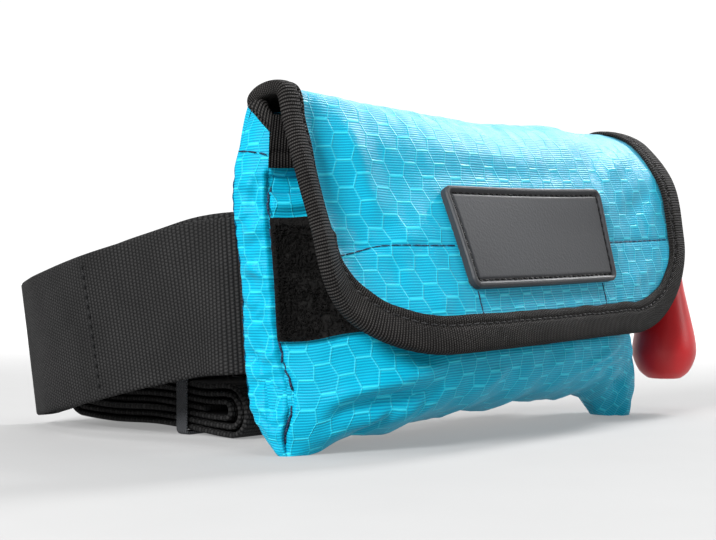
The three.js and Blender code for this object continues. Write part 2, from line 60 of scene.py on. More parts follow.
camera_data = bpy.data.cameras.new("product_camera")
camera_data.sensor_width = 36
camera_data.lens = 70.39
camera_data.shift_y = 0.0182
camera = bpy.data.objects.new("product_camera", camera_data)
camera.location = metres((-304.2, -223.8, 40))
camera.rotation_euler = (math.pi / 2, 0, -view_turn)
bpy.context.scene.collection.objects.link(camera)
bpy.context.scene.camera = camera

# Floor and light: seamless white paper, flat under the pack and swept up far away on every side.
# Soft boxes stand above, left, right, in front and behind, in an even white room.
floor_flat, floor_sweep = 2.0, 1.6
pack_middle = np.array([0.0, -0.02, 0.04])
room_light = 0.12


def finish(name, **sockets):
    """New material and its Principled shader, the skin, with these sockets set by name."""
    material = bpy.data.materials.new(name)
    material.use_nodes = True
    skin = material.node_tree.nodes["Principled BSDF"]
    for socket, value in sockets.items():
        skin.inputs[socket.replace("_", " ")].default_value = value
    return material, skin


def node(beside, kind, inputs=(), **settings):
    """New shader node of one kind in the tree of another node or link: its settings, then its inputs by
    index, each a number or a link."""
    tree = beside.id_data
    made = tree.nodes.new(kind)
    for key, value in settings.items():
        setattr(made, key, value)
    for index, value in dict(inputs).items():
        if isinstance(value, bpy.types.NodeSocket):
            tree.links.new(value, made.inputs[index])
        else:
            made.inputs[index].default_value = value
    return made


def feed(skin, socket, link):
    """A link fed into the named socket of a skin."""
    skin.id_data.links.new(link, skin.inputs[socket])


def object_place(skin):
    """Place on the object in metres, for a pattern that is fixed to it."""
    return node(skin, "ShaderNodeTexCoord").outputs["Object"]


def cloud(where, scale, detail=3.0):
    """Soft random value from 0 to 1 with patches of about 1 / scale, at the place given."""
    return node(where, "ShaderNodeTexNoise", {0: where, 2: scale, 3: detail}).outputs[0]


def blend(factor, first, second):
    """Colour from the first to the second by a factor of 0 to 1. Each is red, green and blue, or a link."""
    ends = [end if isinstance(end, bpy.types.NodeSocket) else (*end, 1) for end in (first, second)]
    return node(factor, "ShaderNodeMix", {0: factor, 6: ends[0], 7: ends[1]}, data_type="RGBA").outputs[2]


def tint(skin, factor, first, second):
    """Base colour of a skin: the blend of two colours by a factor."""
    feed(skin, "Base Color", blend(factor, first, second))


def grid(*axes):
    """Axes spread over one grid and put side by side: points from three of them, flat places from two."""
    return np.stack(np.broadcast_arrays(*axes), axis=-1)


def piece(name, points, faces, material, uv=None, sharp=55):
    """Object from points in metres, quads and a UV pair for each quad corner; smooth but for sharp edges."""
    mesh = bpy.data.meshes.new(name)
    mesh.vertices.add(len(points))
    mesh.vertices.foreach_set("co", np.ascontiguousarray(points, np.float32).ravel())
    mesh.loops.add(faces.size)
    mesh.loops.foreach_set("vertex_index", np.ascontiguousarray(faces, np.int32).ravel())
    mesh.polygons.add(len(faces))
    mesh.polygons.foreach_set("loop_start", np.arange(len(faces), dtype=np.int32) * faces.shape[1])
    if uv is not None:
        layer = mesh.uv_layers.new(name="cloth")
        layer.data.foreach_set("uv", np.ascontiguousarray(uv, np.float32).ravel())
    mesh.update(calc_edges=True)
    mesh.shade_smooth()
    mesh.set_sharp_from_angle(angle=math.radians(sharp))
    mesh.materials.append(material)
    made = bpy.data.objects.new(name, mesh)
    bpy.context.scene.collection.objects.link(made)
    return made


paper, skin = finish("studio_paper", Roughness=0.9, Specular_IOR_Level=0.1, Emission_Color=(1, 1, 1, 1))
where = object_place(skin)
tint(skin, cloud(where, 40), (0.24, 0.24, 0.24), (0.26, 0.26, 0.26))
view_way = (math.sin(view_turn), math.cos(view_turn), 0)
behind = node(where, "ShaderNodeVectorMath", {0: where, 1: view_way}, operation="DOT_PRODUCT").outputs[1]
glow_range = {0: behind, 1: 0.1, 2: 0.8, 3: 0.27, 4: 0.95}
glow = node(behind, "ShaderNodeMapRange", glow_range, interpolation_type="SMOOTHSTEP").outputs[0]
feed(skin, "Emission Strength", glow)
turn = np.linspace(0, 2 * math.pi, 97)
sweep = np.linspace(0, math.pi / 2, 25)[1:]
floor_radius = np.append(np.linspace(0, floor_flat, 20), floor_flat + floor_sweep * np.sin(sweep))[:, None]
floor_height = np.append(np.zeros(20), floor_sweep - floor_sweep * np.cos(sweep))[:, None]
floor_points = grid(floor_radius * np.cos(turn), floor_radius * np.sin(turn), floor_height)
columns = len(turn)
corner = (np.arange(len(floor_radius) - 1)[:, None] * columns + np.arange(columns - 1)).ravel()
floor_faces = np.stack([corner, corner + 1, corner + columns + 1, corner + columns], axis=1)
floor = piece("studio_floor", floor_points.reshape(-1, 3), floor_faces, paper)
for name, place, size, watts in (
    ("softbox_top", (-0.15, -0.2, 1.0), 0.4, 4),
    ("softbox_left", (-1.1, -0.2, 0.6), 0.4, 25),
    ("softbox_right", (1.0, -0.1, 0.9), 0.34, 19),
    ("softbox_front", (0.6, -1.0, 0.35), 0.4, 2.5),
    ("softbox_back", (0.8, 0.75, 0.85), 0.9, 6),
):
    light = bpy.data.lights.new(name, "AREA")
    light.size = size
    light.energy = watts
    softbox = bpy.data.objects.new(name, light)
    away = np.array(place) - pack_middle
    tilt = math.acos(away[2] / np.linalg.norm(away))
    softbox.location = place
    softbox.rotation_euler = (tilt, 0, math.atan2(away[1], away[0]) + math.pi / 2)
    bpy.context.scene.collection.objects.link(softbox)
room = bpy.data.worlds.new("white_room")
room.use_nodes = True
room.node_tree.nodes["Background"].inputs[0].default_value = (1, 1, 1, 1)
room.node_tree.nodes["Background"].inputs[1].default_value = room_light
bpy.context.scene.world = room
bpy.context.scene.view_settings.view_transform = "Standard"

# Pull handle: red satin plastic, turned pear shape with a flat foot and a blind hole for the cord in its top.
# Moulded in one piece, so its outline is one smooth curve of radius and height.
foot_z, top_z = 10.6, 47.2
handle_rows = np.array([
    (4.2, foot_z), (5.4, 11.0), (7.6, 13.0), (9.2, 16.4), (9.7, 19.6), (9.2, 24), (8.1, 29), (6.9, 34),
    (5.8, 39), (5, 44), (4.4, 46.4), (3.4, top_z),
])
handle_hole = np.array([(2.0, top_z), (1.7, 47.0), (1.6, 46.6), (1.6, 44), (1.6, 42), (0.05, 42)])


def calc(operation, *values):
    """One sum of a shader: the Math node with this operation on numbers or links."""
    beside = next(value for value in values if isinstance(value, bpy.types.NodeSocket))
    return node(beside, "ShaderNodeMath", enumerate(values), operation=operation).outputs[0]


def roughen(skin, share, spread, least):
    """Roughness of a skin: the least, and a share from 0 to 1 of the spread."""
    feed(skin, "Roughness", calc("MULTIPLY_ADD", share, spread, least))


def relief(skin, height, depth):
    """Bump of the surface by a height from 0 to 1 times the depth in millimetres."""
    raised = node(skin, "ShaderNodeBump", {0: 1.0, 1: depth * mm, "Height": height})
    feed(skin, "Normal", raised.outputs[0])


def through(keys, values, at):
    """Smooth curve through the points (key, value), straight on past both ends: a cubic between each
    two keys, whose slope at a key is the slope between its two neighbours. Each place in at may have
    values of its own."""
    keys, values = np.asarray(keys, float), np.asarray(values, float)
    at = np.asarray(at, float)
    down = (-1, *(1,) * at.ndim)
    values = values.reshape(down) if values.ndim == 1 else values
    key = np.arange(len(keys))
    before, after = np.maximum(key - 1, 0), np.minimum(key + 1, key[-1])
    slope = (values[after] - values[before]) / (keys[after] - keys[before]).reshape(down)
    row = np.clip(np.searchsorted(keys, at) - 1, 0, len(keys) - 2)
    start, end, leave, arrive = (
        np.take_along_axis(np.broadcast_to(part, (len(keys), *at.shape)), row[None] + step, 0)[0]
        for part in (values, slope) for step in (0, 1)
    )
    span = keys[row + 1] - keys[row]
    past = (at - keys[row]) / span
    t = np.clip(past, 0, 1)
    bend = t * (1 - t) * span * ((1 - t) * leave - t * arrive)
    beyond = span * (np.minimum(past, 0) * leave + np.maximum(past - 1, 0) * arrive)
    return start + (end - start) * t * t * (3 - 2 * t) + bend + beyond


def lofted(name, loops, flat, material, ring=False, sharp=55):
    """Skin over a row of closed loops of points in drawing millimetres: a quad between each two neighbours,
    and a strip of quads across the first and the last loop, or from the last back to the first for a ring.
    The flat places have one column more than a loop has points, and one row more for a ring."""
    rows, count, _ = loops.shape
    row = np.arange(rows if ring else rows - 1)[:, None]
    i = np.arange(count)[None, :]
    j = (i + 1) % count
    here, there = row * count, (row + 1) % rows * count
    faces = np.stack([here + i, here + j, there + j, there + i], axis=-1).reshape(-1, 4)
    wide = count + 1
    here, there = row * wide, (row + 1) * wide
    corners = np.stack([here + i, here + i + 1, there + i + 1, there + i], axis=-1).reshape(-1, 4)
    if not ring:
        a = np.arange(count // 2 - 1)
        first = np.stack([a, count - 1 - a, count - 2 - a, a + 1], axis=1)
        last = np.stack([a, a + 1, count - 2 - a, count - 1 - a], axis=1)
        faces = np.concatenate([faces, first, last + (rows - 1) * count])
        corners = np.concatenate([corners, first, last + (rows - 1) * wide])
    points = metres(loops.reshape(-1, 3))
    p = points[faces] - points.mean(axis=0)
    volume = np.einsum("fi,fi->", p[:, 0], np.cross(p[:, 1], p[:, 2]) + np.cross(p[:, 2], p[:, 3]))
    if volume < 0:
        faces, corners = faces[:, ::-1], corners[:, ::-1]
    return piece(name, points, faces, material, flat.reshape(-1, 2)[corners] * mm, sharp)


def wear(*pieces, slot):
    """Pieces ride on the one body of the pack. The slot is not used."""
    for made in pieces:
        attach(made, "root")


handle_red, skin = finish("handle_red_plastic", Specular_IOR_Level=0.4)
where = object_place(skin)
tint(skin, cloud(where, 90, 4), (0.46, 0.006, 0.010), (0.58, 0.012, 0.016))
roughen(skin, cloud(where, 900, 2), 0.12, 0.30)
relief(skin, cloud(where, 2600, 2), 0.03)
handle_keys = np.arange(len(handle_rows))
handle_at = np.linspace(0, handle_keys[-1], 100)
handle_side = np.stack([through(handle_keys, column, handle_at) for column in handle_rows.T], axis=1)
handle_foot = grid(np.linspace(0.05, 4.0, 8), foot_z)
handle_radius, handle_z = np.split(np.concatenate([handle_foot, handle_side, handle_hole]), 2, axis=1)
turn = np.linspace(0, 2 * math.pi, 96, endpoint=False)
turn_x, turn_y = handle_radius * np.cos(turn), handle_radius * np.sin(turn)
handle_loops = grid(handle_x + turn_x, handle_y + turn_y, handle_z)
handle = lofted("handle", handle_loops, grid(np.linspace(0, 60, 97), handle_z), handle_red, sharp=40)
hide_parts("pull_handle")
wear(handle, slot="handle_plastic")

# Pull cord: black braided cord of 2.2 mm, from inside the mouth over the right end and down into the handle.
# It hangs free from the mouth's edge to the handle, which it carries.
cord_wide = 2.2
plait_long, plait_wide, plait_count = 1.1, 0.86, 8
cord_rows = [
    (62, 6.5, 60), (65, 6.4, 71), (67.4, 6, 78.6), (71.6, 4.8, 81.6), (76, 2.6, 81.2), (80.4, -2, 77),
    (83.6, -7.4, 66), (84.9, -10.6, 54), (handle_x, handle_y, 48), (handle_x, handle_y, 42.4),
]


def vector(operation, *values):
    """One sum of a shader on vectors: a link first, then numbers or links."""
    return node(values[0], "ShaderNodeVectorMath", enumerate(values), operation=operation).outputs[0]


def cloth_place(skin):
    """Place on the flat cloth in millimetres from the piece's own UV: as one vector, and its two parts."""
    flat = node(skin, "ShaderNodeUVMap", uv_map="cloth").outputs[0]
    place = vector("MULTIPLY", flat, (1000, 1000, 0))
    return place, *node(place, "ShaderNodeSeparateXYZ", {0: place}).outputs[:2]


def half_up(value):
    """A value from -1 to 1 moved to 0 to 1."""
    return calc("MULTIPLY_ADD", value, 0.5, 0.5)


def flowing(rows, count):
    """Curve through the rows at even steps of their number: a cubic between each two rows whose speed
    at a row weighs its two sides by the root of their lengths, so close rows turn without a loop."""
    rows = np.asarray(rows, float)
    rows = np.concatenate([2 * rows[:1] - rows[1:2], rows, 2 * rows[-1:] - rows[-2:-1]])
    at = np.linspace(0, len(rows) - 3, count)
    first = np.minimum(at.astype(int), len(rows) - 4)
    t = (at - first)[:, None]
    p0, p1, p2, p3 = (rows[first + i] for i in range(4))
    gaps = (p1 - p0, p2 - p1, p3 - p2)
    d0, d1, d2 = (np.sqrt(np.linalg.norm(gap, axis=1, keepdims=True)) for gap in gaps)
    leave = ((p1 - p0) / d0 - (p2 - p0) / (d0 + d1) + (p2 - p1) / d1) * d1
    arrive = ((p2 - p1) / d1 - (p3 - p1) / (d1 + d2) + (p3 - p2) / d2) * d1
    cubic = 2 * p1 - 2 * p2 + leave + arrive
    square = -3 * p1 + 3 * p2 - 2 * leave - arrive
    return p1 + leave * t + square * t**2 + cubic * t**3


def lengths(path):
    """Distance along a path of points from its first point to each."""
    return np.append(0.0, np.cumsum(np.linalg.norm(np.diff(path, axis=0), axis=1)))


def unit(vectors):
    """Vectors made one long."""
    return vectors / np.linalg.norm(vectors, axis=-1, keepdims=True)


cord_black, skin = finish("cord_black_braid", Roughness=0.75, Specular_IOR_Level=0.2)
_, run, over = cloth_place(skin)
plait = []
for side in (1, -1):
    slant = calc("MULTIPLY", over, side * 2 * math.pi / plait_wide)
    plait.append(calc("SINE", calc("MULTIPLY_ADD", run, 2 * math.pi / plait_long, slant)))
strand = half_up(calc("MAXIMUM", *plait))
tint(skin, strand, (0.004, 0.004, 0.005), (0.024, 0.024, 0.027))
relief(skin, strand, 0.2)
cord_path = flowing(cord_rows, 200)
cord_run = unit(np.gradient(cord_path, axis=0))
cord_side = unit(np.cross(cord_run, (0.3, 1.0, 0.0)))[:, None]
cord_face = np.cross(cord_run[:, None], cord_side)
turn = np.linspace(0, 2 * math.pi, 16, endpoint=False)[None, :, None]
cord_loops = cord_path[:, None] + cord_wide / 2 * (cord_side * np.cos(turn) + cord_face * np.sin(turn))
cord_along = lengths(cord_path)
cord_flat = grid(cord_along[:, None], np.linspace(0, plait_count * plait_wide, 17))
cord = lofted("cord", cord_loops, cord_flat, cord_black)
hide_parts("pull_cord")
wear(cord, slot="cord")

# Pouch: glossy blue nylon woven with a raised hexagon grid, sewn from a front, a back and two narrow ends.
# It is soft and full, so the front swells, the lower edge lifts between its corners and the seams pucker.
# Each list below gives one measure of it at the levels of the first list.
level_z = [0, 4, 10, 16, 22, 30, 40, 52, 62, 70, 78]
pouch_front = [0.2, 0.4, -0.8, -0.8, 0.8, 1.8, 2.6, 3.6, 4, 3.8, 3.2]
pouch_back = [3.0, 6.0, 9.3, 11, 12, 12.6, 12.8, 13, 13, 11.8, 8.9]
pouch_bulge = [8, 17, 21, 22, 21.8, 20.4, 19.4, 18, 15.2, 11.4, 7]
pouch_back_bulge = [8, 4, 1, 0, 0, 0, 0, 0, 0, 0, 0]
pouch_half = [71.4, 72.4, 73, 73.2, 73.4, 73.6, 73.6, 73.8, 74, 73.6, 73]
pouch_swell = [0.3, 1, 1.4, 1, 0.6, 0.4, 0.6, 2.2, 3, 2, 0.4]
pouch_rise = [0, 0, 0, 0, 0, 0, 0, 0, 0, 1.2, 4]
pouch_crest = [0, 0, 0, 0, 0, 0, 0, 0, 0, 0.3, 1.2]
pouch_power = [4, 4, 4, 4, 4, 4, 3.6, 3, 2.4, 2, 2]
right_power = [3.4, 3.4, 3.6, 4.2, 5, 5.2, 5.2, 5.2, 5.2, 5.2, 5.2]
right_forward = [7, 7, 6, 4.2, 2, 0.4, 0, 0, 0, 0, 0]
mouth_z = level_z[-1]
# The lower edge, at places across it: the height of its arch, and how far its right tip is drawn down.
arch_u = [-1, -0.95, -0.91, -0.86, -0.8, -0.7, -0.61, -0.5, -0.2, 0.25, 0.62, 0.8, 0.92, 1]
arch_z = [0, 0, 0.7, 2.2, 3.2, 3.7, 3.9, 5.3, 6.8, 7.5, 7.2, 4.8, 0.8, 0]
tip_u = [-1, 0.6, 0.7, 0.76, 0.81, 0.86, 0.92, 1]
tip_z = [0, 0, 0.2, 2, 4.1, 3.2, 0.8, 0]
end_puff, end_wide, tip_top = 0.8, 10, 24
panel_half, belly_row = 73.4, 45
cloth_thick = 1.3
hexagon_tall, hexagon_wide, hexagon_flat = 6.9, 6.0, 3.7
weft_pitch, warp_pitch = 0.66, 0.42


def sine(along, pitch):
    """Sine of a place in millimetres, one turn for each pitch."""
    return calc("SINE", calc("MULTIPLY", along, 2 * math.pi / pitch))


def hexagons(place, tall, wide, flat):
    """Distance in from the nearest edge of a honeycomb, and 1 beside its level edges, for a place in
    millimetres. Its hexagons are so tall and wide, with level edges of the flat length. Two grids of
    cells, one shifted by half a cell each way, hold one hexagon in each cell, and the place belongs to
    the one that it is further inside."""
    cell = (wide + flat, tall, 1)
    slant = np.array([tall, wide - flat]) / math.hypot(tall, wide - flat)
    scaled = vector("DIVIDE", place, cell)
    inside, level = [], []
    for shift in (0.0, 0.5):
        moved = vector("ADD", scaled, (shift, shift, 0))
        inner = vector("SUBTRACT", vector("FRACTION", moved), (0.5, 0.5, 0))
        size = vector("ABSOLUTE", vector("MULTIPLY", inner, cell))
        x, y = node(size, "ShaderNodeSeparateXYZ", {0: size}).outputs[:2]
        from_level = calc("SUBTRACT", tall / 2, y)
        reach = calc("MULTIPLY_ADD", x, slant[0], calc("MULTIPLY", y, slant[1]))
        from_slant = calc("SUBTRACT", slant[0] * wide / 2, reach)
        inside.append(calc("MINIMUM", from_level, from_slant))
        level.append(calc("LESS_THAN", from_level, from_slant))
    second = calc("GREATER_THAN", inside[1], inside[0])
    on_level = calc("MULTIPLY_ADD", calc("SUBTRACT", level[1], level[0]), second, level[0])
    return calc("MAXIMUM", *inside), on_level


def ripstop(name, gloss, sheen):
    """Blue cloth: fine level threads, a hexagon grid of thicker pale threads, and soft changes of tone."""
    material, skin = finish(name, Specular_IOR_Level=gloss, Sheen_Weight=sheen, Sheen_Roughness=0.4)
    place, across, down = cloth_place(skin)
    inside, on_level = hexagons(place, hexagon_tall, hexagon_wide, hexagon_flat)
    line_wide = calc("MULTIPLY_ADD", on_level, 0.14, 0.26)
    off_line = calc("SMOOTH_MIN", calc("DIVIDE", inside, line_wide), 1.0, 0.5)
    line = calc("MAXIMUM", calc("SUBTRACT", 1.0, off_line), 0.0)
    weft = half_up(sine(down, weft_pitch))
    warp = half_up(sine(across, warp_pitch))
    tone = cloud(place, 0.09, 4)
    ground = blend(tone, (0.0004, 0.175, 0.31), (0.001, 0.25, 0.42))
    woven = blend(calc("MULTIPLY", weft, 0.55), ground, (0.004, 0.53, 0.70))
    pale = calc("MULTIPLY", line, calc("MULTIPLY_ADD", on_level, 0.2, 0.32))
    tint(skin, pale, woven, (0.06, 0.78, 0.92))
    roughen(skin, tone, 0.14, 0.36)
    height = calc("MULTIPLY_ADD", warp, 0.08, calc("MULTIPLY", line, 0.6))
    relief(skin, calc("MULTIPLY_ADD", weft, 0.30, height), 0.2)
    return material


def ripples(a, b, pitch, seed, count=7):
    """Soft random waves over a and b: a sum of sines of random direction and start, of about this pitch."""
    chance = np.random.default_rng(seed)
    angle, start = chance.uniform(0, 2 * math.pi, (2, count))
    size = chance.uniform(0.7, 1.4, count)
    waves = [
        np.sin(2 * math.pi * (a * math.cos(t) + b * math.sin(t)) / (pitch * k) + s)
        for t, s, k in zip(angle, start, size)
    ]
    return sum(waves) / math.sqrt(count)


def bell(at, middle, wide):
    """Smooth bell of height 1 round the middle, which falls to about a third at the half width."""
    return np.exp(-(((at - middle) / wide) ** 2))


def creases(a, b, rows):
    """Sum of folds over a and b. Each row is a fold from one point to another, its height (less than zero for
    a valley) and its half width: a smooth bell across the fold that fades toward both of its ends."""
    total = np.zeros(np.broadcast(a, b).shape)
    for a0, b0, a1, b1, height, wide in rows:
        run = np.array([a1 - a0, b1 - b0])
        long = np.hypot(*run)
        t = ((a - a0) * run[0] + (b - b0) * run[1]) / long**2
        off = ((a - a0) * run[1] - (b - b0) * run[0]) / long
        fade = np.clip(1 - (2 * t - 1) ** 2, 0, 1) ** 1.2
        total = total + height * fade * bell(off, 0, wide)
    return total


def smooth_between(low, high, at):
    """0 below low, 1 above high and a smooth step between."""
    t = np.clip((at - low) / (high - low), 0, 1)
    return t * t * (3 - 2 * t)


def bunched(count):
    """Shares from -1 to 1 that lie closer toward both ends: the sine of even steps of a half turn."""
    return np.sin(np.linspace(-1, 1, count) * math.pi / 2)


def outward(points):
    """Direction square to a grid of points: its run over the columns times its run over the rows."""
    return unit(np.cross(np.gradient(points, axis=1), np.gradient(points, axis=0)))


def joined_on(loops):
    """Loops of values with the first value again at the end, for a skin whose seam is not a jump."""
    return np.concatenate([loops, loops[:, :1]], axis=1)


def at_level(measure, z):
    """One measure of the pouch at level z, on the smooth curve through its list."""
    return through(level_z, measure, z)


def panel_height(u, z):
    """Height of the cloth level z at u: the level squeezed up above the arch of the lower edge, and
    drawn down again near the lower right tip."""
    arch = through(arch_u, arch_z, u)
    return arch + z * (1 - arch / mouth_z) - through(tip_u, tip_z, u) * np.clip(1 - z / tip_top, 0, 1) ** 2


def panel_fullness(u, z):
    """How far the panel stands out at u, from 0 at its sides to 1: one less a power of u."""
    return 1 - np.abs(u) ** np.where(u < 0, at_level(pouch_power, z), at_level(right_power, z))


def front_panel(u, z, inset=0.0):
    """Front of the pouch at u from -1 to 1 and level z: half width times u, and the bulge forward."""
    x = u * (at_level(pouch_half, z) - inset)
    y = at_level(pouch_front, z) + inset - at_level(pouch_bulge, z) * panel_fullness(u, z)
    y = y - at_level(right_forward, z) * smooth_between(0.78, 1, u)
    return grid(x, y, panel_height(u, z))


def back_panel(u, z, inset=0.0):
    """Back of the pouch at u and level z: a little wider than the front, nearly flat, drawn up at its
    corners."""
    x = u * (at_level(pouch_half, z) + at_level(pouch_swell, z) - inset)
    y = at_level(pouch_back, z) - inset - at_level(pouch_back_bulge, z) * panel_fullness(u, z)
    rise = at_level(pouch_rise, z) * smooth_between(0.95, 1, np.abs(u))
    return grid(x, y, panel_height(u, z) + rise)


def end_panel(side, across, z, inset=0.0):
    """One end at a share across from the front seam to the back seam: straight between them with a
    little puff, and drawn up toward the back at the mouth."""
    half = at_level(pouch_half, z) + at_level(pouch_swell, z) * across
    arc = np.sin(math.pi * across)
    front = at_level(pouch_front, z) + inset - at_level(right_forward, z) * (side > 0)
    back = at_level(pouch_back, z) - inset
    top = at_level(pouch_rise, z) * across + at_level(pouch_crest, z) * arc
    return grid(side * (half + end_puff * arc - inset), front + (back - front) * across, z + top)


panel_u = bunched(221)
end_share = 0.5 - (np.arange(15) + 0.5) / 31


def pouch_loops(z, inset):
    """Loops round the pouch at the levels z: left end from its middle to the front seam, front, right end,
    back, and left end again to its middle, so that each front point lies opposite a back point."""
    z = z[:, None]
    near, far, u = end_share[None, :], 1 - end_share[None, :], panel_u[None, :]
    return np.concatenate([
        end_panel(-1, near, z, inset), front_panel(u, z, inset), end_panel(1, near[:, ::-1], z, inset),
        end_panel(1, far, z, inset), back_panel(u[:, ::-1], z, inset), end_panel(-1, far[:, ::-1], z, inset),
    ], axis=1)


def tubes(name, rings, material, caps=np.empty((0, 4), int)):
    """One piece of many small tubes from their rings of points in drawing millimetres: a quad between
    each two neighbours of a tube, and its caps as quads of point numbers."""
    count, long, sides, _ = rings.shape
    ring, i = np.divmod(np.arange((long - 1) * sides), sides)
    here, beside = ring * sides + i, ring * sides + (i + 1) % sides
    quads = np.concatenate([np.stack([here, beside, beside + sides, here + sides], axis=1), caps])
    faces = (np.arange(count)[:, None, None] * long * sides + quads).reshape(-1, 4)
    return piece(name, metres(rings.reshape(-1, 3)), faces, material)


def stitches(name, path, up, material, pitch, long, thick):
    """Row of sewn stitches along a path, one for each pitch: a thread lying on the cloth, thickest in the
    middle and dipping into its two needle holes, with six sides."""
    along = lengths(path)
    at = np.arange(pitch / 2, along[-1], pitch)
    here, before, after = (
        np.stack([np.interp(at + step, along, column) for column in path.T], axis=1)
        for step in (0, -0.3, 0.3)
    )
    lift = np.broadcast_to(np.asarray(up, float), path.shape)
    lift = unit(np.stack([np.interp(at, along, column) for column in lift.T], axis=1))
    ahead = after - before
    ahead = unit(ahead - lift * np.sum(ahead * lift, axis=1, keepdims=True))
    middle, lift, ahead, beside = (part[:, None, None] for part in (here, lift, ahead, np.cross(ahead, lift)))
    share = np.array([-1, -0.72, 0, 0.72, 1])[None, :, None, None]
    wide = thick * np.array([0.35, 0.85, 1.0, 0.85, 0.35])[None, :, None, None]
    around = (np.arange(6) * math.pi / 3)[None, None, :, None]
    rise = wide * np.sin(around) - 0.22 * share**4
    rings = middle + ahead * share * long / 2 + lift * rise + beside * wide * np.cos(around)
    caps = np.array([(3, 2, 1, 0), (5, 4, 3, 0), (24, 25, 26, 27), (24, 27, 28, 29)])
    return tubes(name, rings, material, caps)


def thread(name, dark, light):
    """Sewing thread: a plain colour with twist lines along it and a little sheen."""
    material, skin = finish(name, Roughness=0.6, Specular_IOR_Level=0.25)
    bands = {0: object_place(skin), 1: 900.0, 2: 2.0}
    twist = node(skin, "ShaderNodeTexWave", bands, bands_direction="DIAGONAL").outputs[1]
    tint(skin, twist, dark, light)
    relief(skin, twist, 0.08)
    return material


pouch_blue = ripstop("pouch_blue_ripstop", gloss=0.1, sheen=0.06)
outside_z = mouth_z * np.linspace(0, 1, 118)
inside_z = np.linspace(mouth_z, 8, 14)
outside = pouch_loops(outside_z, 0.0)
pouch_around = lengths(outside[belly_row])
pouch_down = np.cumsum(np.linalg.norm(np.diff(outside, axis=0, prepend=outside[:1]), axis=2), axis=0)
pouch_down = pouch_down - pouch_down[belly_row] + outside_z[belly_row]
x, z = np.broadcast_arrays(outside[..., 0], outside_z[:, None])
far_share = 1 - end_share
end_across = [end_share, 0 * panel_u, end_share[::-1], far_share, 0 * panel_u, far_share[::-1]]
end_across = np.concatenate(end_across)
on_end = np.sign(end_across)
place = np.arange(len(end_across))
front_part = slice(len(end_share), len(end_share) + len(panel_u))
back_part = slice(front_part.stop + 2 * len(end_share), front_part.stop + 2 * len(end_share) + len(panel_u))
on_front = (place >= front_part.start) & (place < front_part.stop)
seam_off = np.where(on_end > 0, end_wide * np.minimum(end_across, 1 - end_across), 0.0)
seam_off[front_part] = seam_off[back_part] = panel_half * (1 - np.abs(panel_u))
front_folds = creases(x, z, [
    (-80, 62.8, -52, 63.4, -4.6, 1.9), (-79, 58.2, -52, 57.8, 2.0, 1.9), (-70, 11.5, -38, 16.5, 1.7, 2.0),
    (-68, 7.6, -34, 11.8, -2.2, 2.2), (-66, 3.0, -40, 6.5, 1.2, 2.2), (-56, 0.2, -50, 7, -1.4, 1.6),
    (-46, 4, -38, 11, -0.9, 1.6), (-30, 7, -12, 15, 0.7, 2.0), (-2, 9, 18, 18, 0.6, 1.8),
    (14, 8.0, 44, 17.5, 0.9, 1.4), (22, 7.8, 52, 17.5, -0.8, 1.6), (34, 8.0, 60, 13.5, -1.4, 1.8),
    (40, 7, 66, 19, 1.1, 1.8), (50, 4, 62, 9, -1.2, 1.6), (58, 14, 72, 23, -0.6, 1.6),
])
front_waves = 0.22 * ripples(x, z, pitch=15, seed=11) + 0.10 * ripples(x, z, pitch=6, seed=12)
under_strip = smooth_between(22, 26, z) * (1 - smooth_between(55.5, 57.5, z))
front_folds = (front_folds + front_waves) * on_front * (1 - under_strip)
end_place = end_wide * end_across[None, :] + 0 * z
pucker = 0.32 * np.sin(2 * math.pi * z / 4.6 + 1.8 * ripples(end_place, z, pitch=9, seed=21))
pucker = pucker + 0.4 * ripples(end_place, z, pitch=8, seed=22)
dimples = creases(end_place, z, [
    (1.0, 60.2, 8.0, 61.6, -1.8, 2.2), (2.5, 66.5, 7.5, 56, 0.9, 1.6), (3.0, 24, 9.0, 22, -1.2, 2.2),
    (1.5, 41, 7.5, 44, 0.9, 2.4), (1.0, 14, 8.0, 17.5, -0.9, 1.8), (2.0, 33, 8.0, 31, -0.8, 1.8),
    (2.0, 74, 6.0, 70.5, 0.7, 1.6),
])
end_fade = on_end * np.sin(math.pi * np.clip(end_across, 0, 1)) ** 0.5
end_folds = (pucker + dimples) * end_fade * smooth_between(0, 3, z)
by_front = (place < back_part.start) & (end_across < 0.5)
seams = -np.where(by_front, 1.9, 0.6) * bell(seam_off, 0, 0.6) * smooth_between(0, 2, z)
seams = seams * (1 + 0.25 * np.sin(2 * math.pi * z / 2.9))
swelling = (front_folds + end_folds + seams) * (1 - smooth_between(64.5, 67, z))
outside = outside + swelling[..., None] * outward(outside)
pinch = bell(z, 14, 7) * bell(seam_off, 0, 6) * (x < 0) * (place < back_part.start) * (end_across < 0.6)
outside[..., 0] += 1.5 * pinch
hem = 0.4 * ripples(x, 0 * z, pitch=17, seed=13) + 0.12 * ripples(x, 0 * z, pitch=6, seed=14)
outside[..., 2] += hem * (1 - smooth_between(0, 9, z))
outside[..., 2] = np.maximum(outside[..., 2], 0.0)
pouch_skin = np.concatenate([outside, pouch_loops(inside_z, cloth_thick)])
last_end = pouch_around[back_part.stop:] - pouch_around[-1] - 0.3
pouch_across = np.concatenate([pouch_around[:back_part.stop], last_end, [0.0]])
inside_down = np.repeat(inside_z[:, None], len(pouch_across), axis=1)
pouch_flat = grid(pouch_across, np.concatenate([joined_on(pouch_down), inside_down]))
pouch = lofted("pouch", pouch_skin, pouch_flat, pouch_blue)
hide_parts("pouch_body")
wear(pouch, slot="pouch_cloth")
navy_thread = thread("navy_thread", (0.003, 0.010, 0.030), (0.012, 0.030, 0.070))
end_seam = end_panel(-1, np.linspace(0.97, 0.03, 40), np.full(40, 69.6)) - (0.12, 0, 0)
end_sewn = stitches("end_seam_stitches", end_seam, (-1, 0, 0), navy_thread, pitch=2.6, long=3.0, thick=0.22)
# Painted shade: a continuous row of dark navy thread laid in the groove of the left front seam stands in for
# the shadow in the fold between the end and the front panel.
seam_shadow_way = np.array([-0.8, -0.6, 0.0])
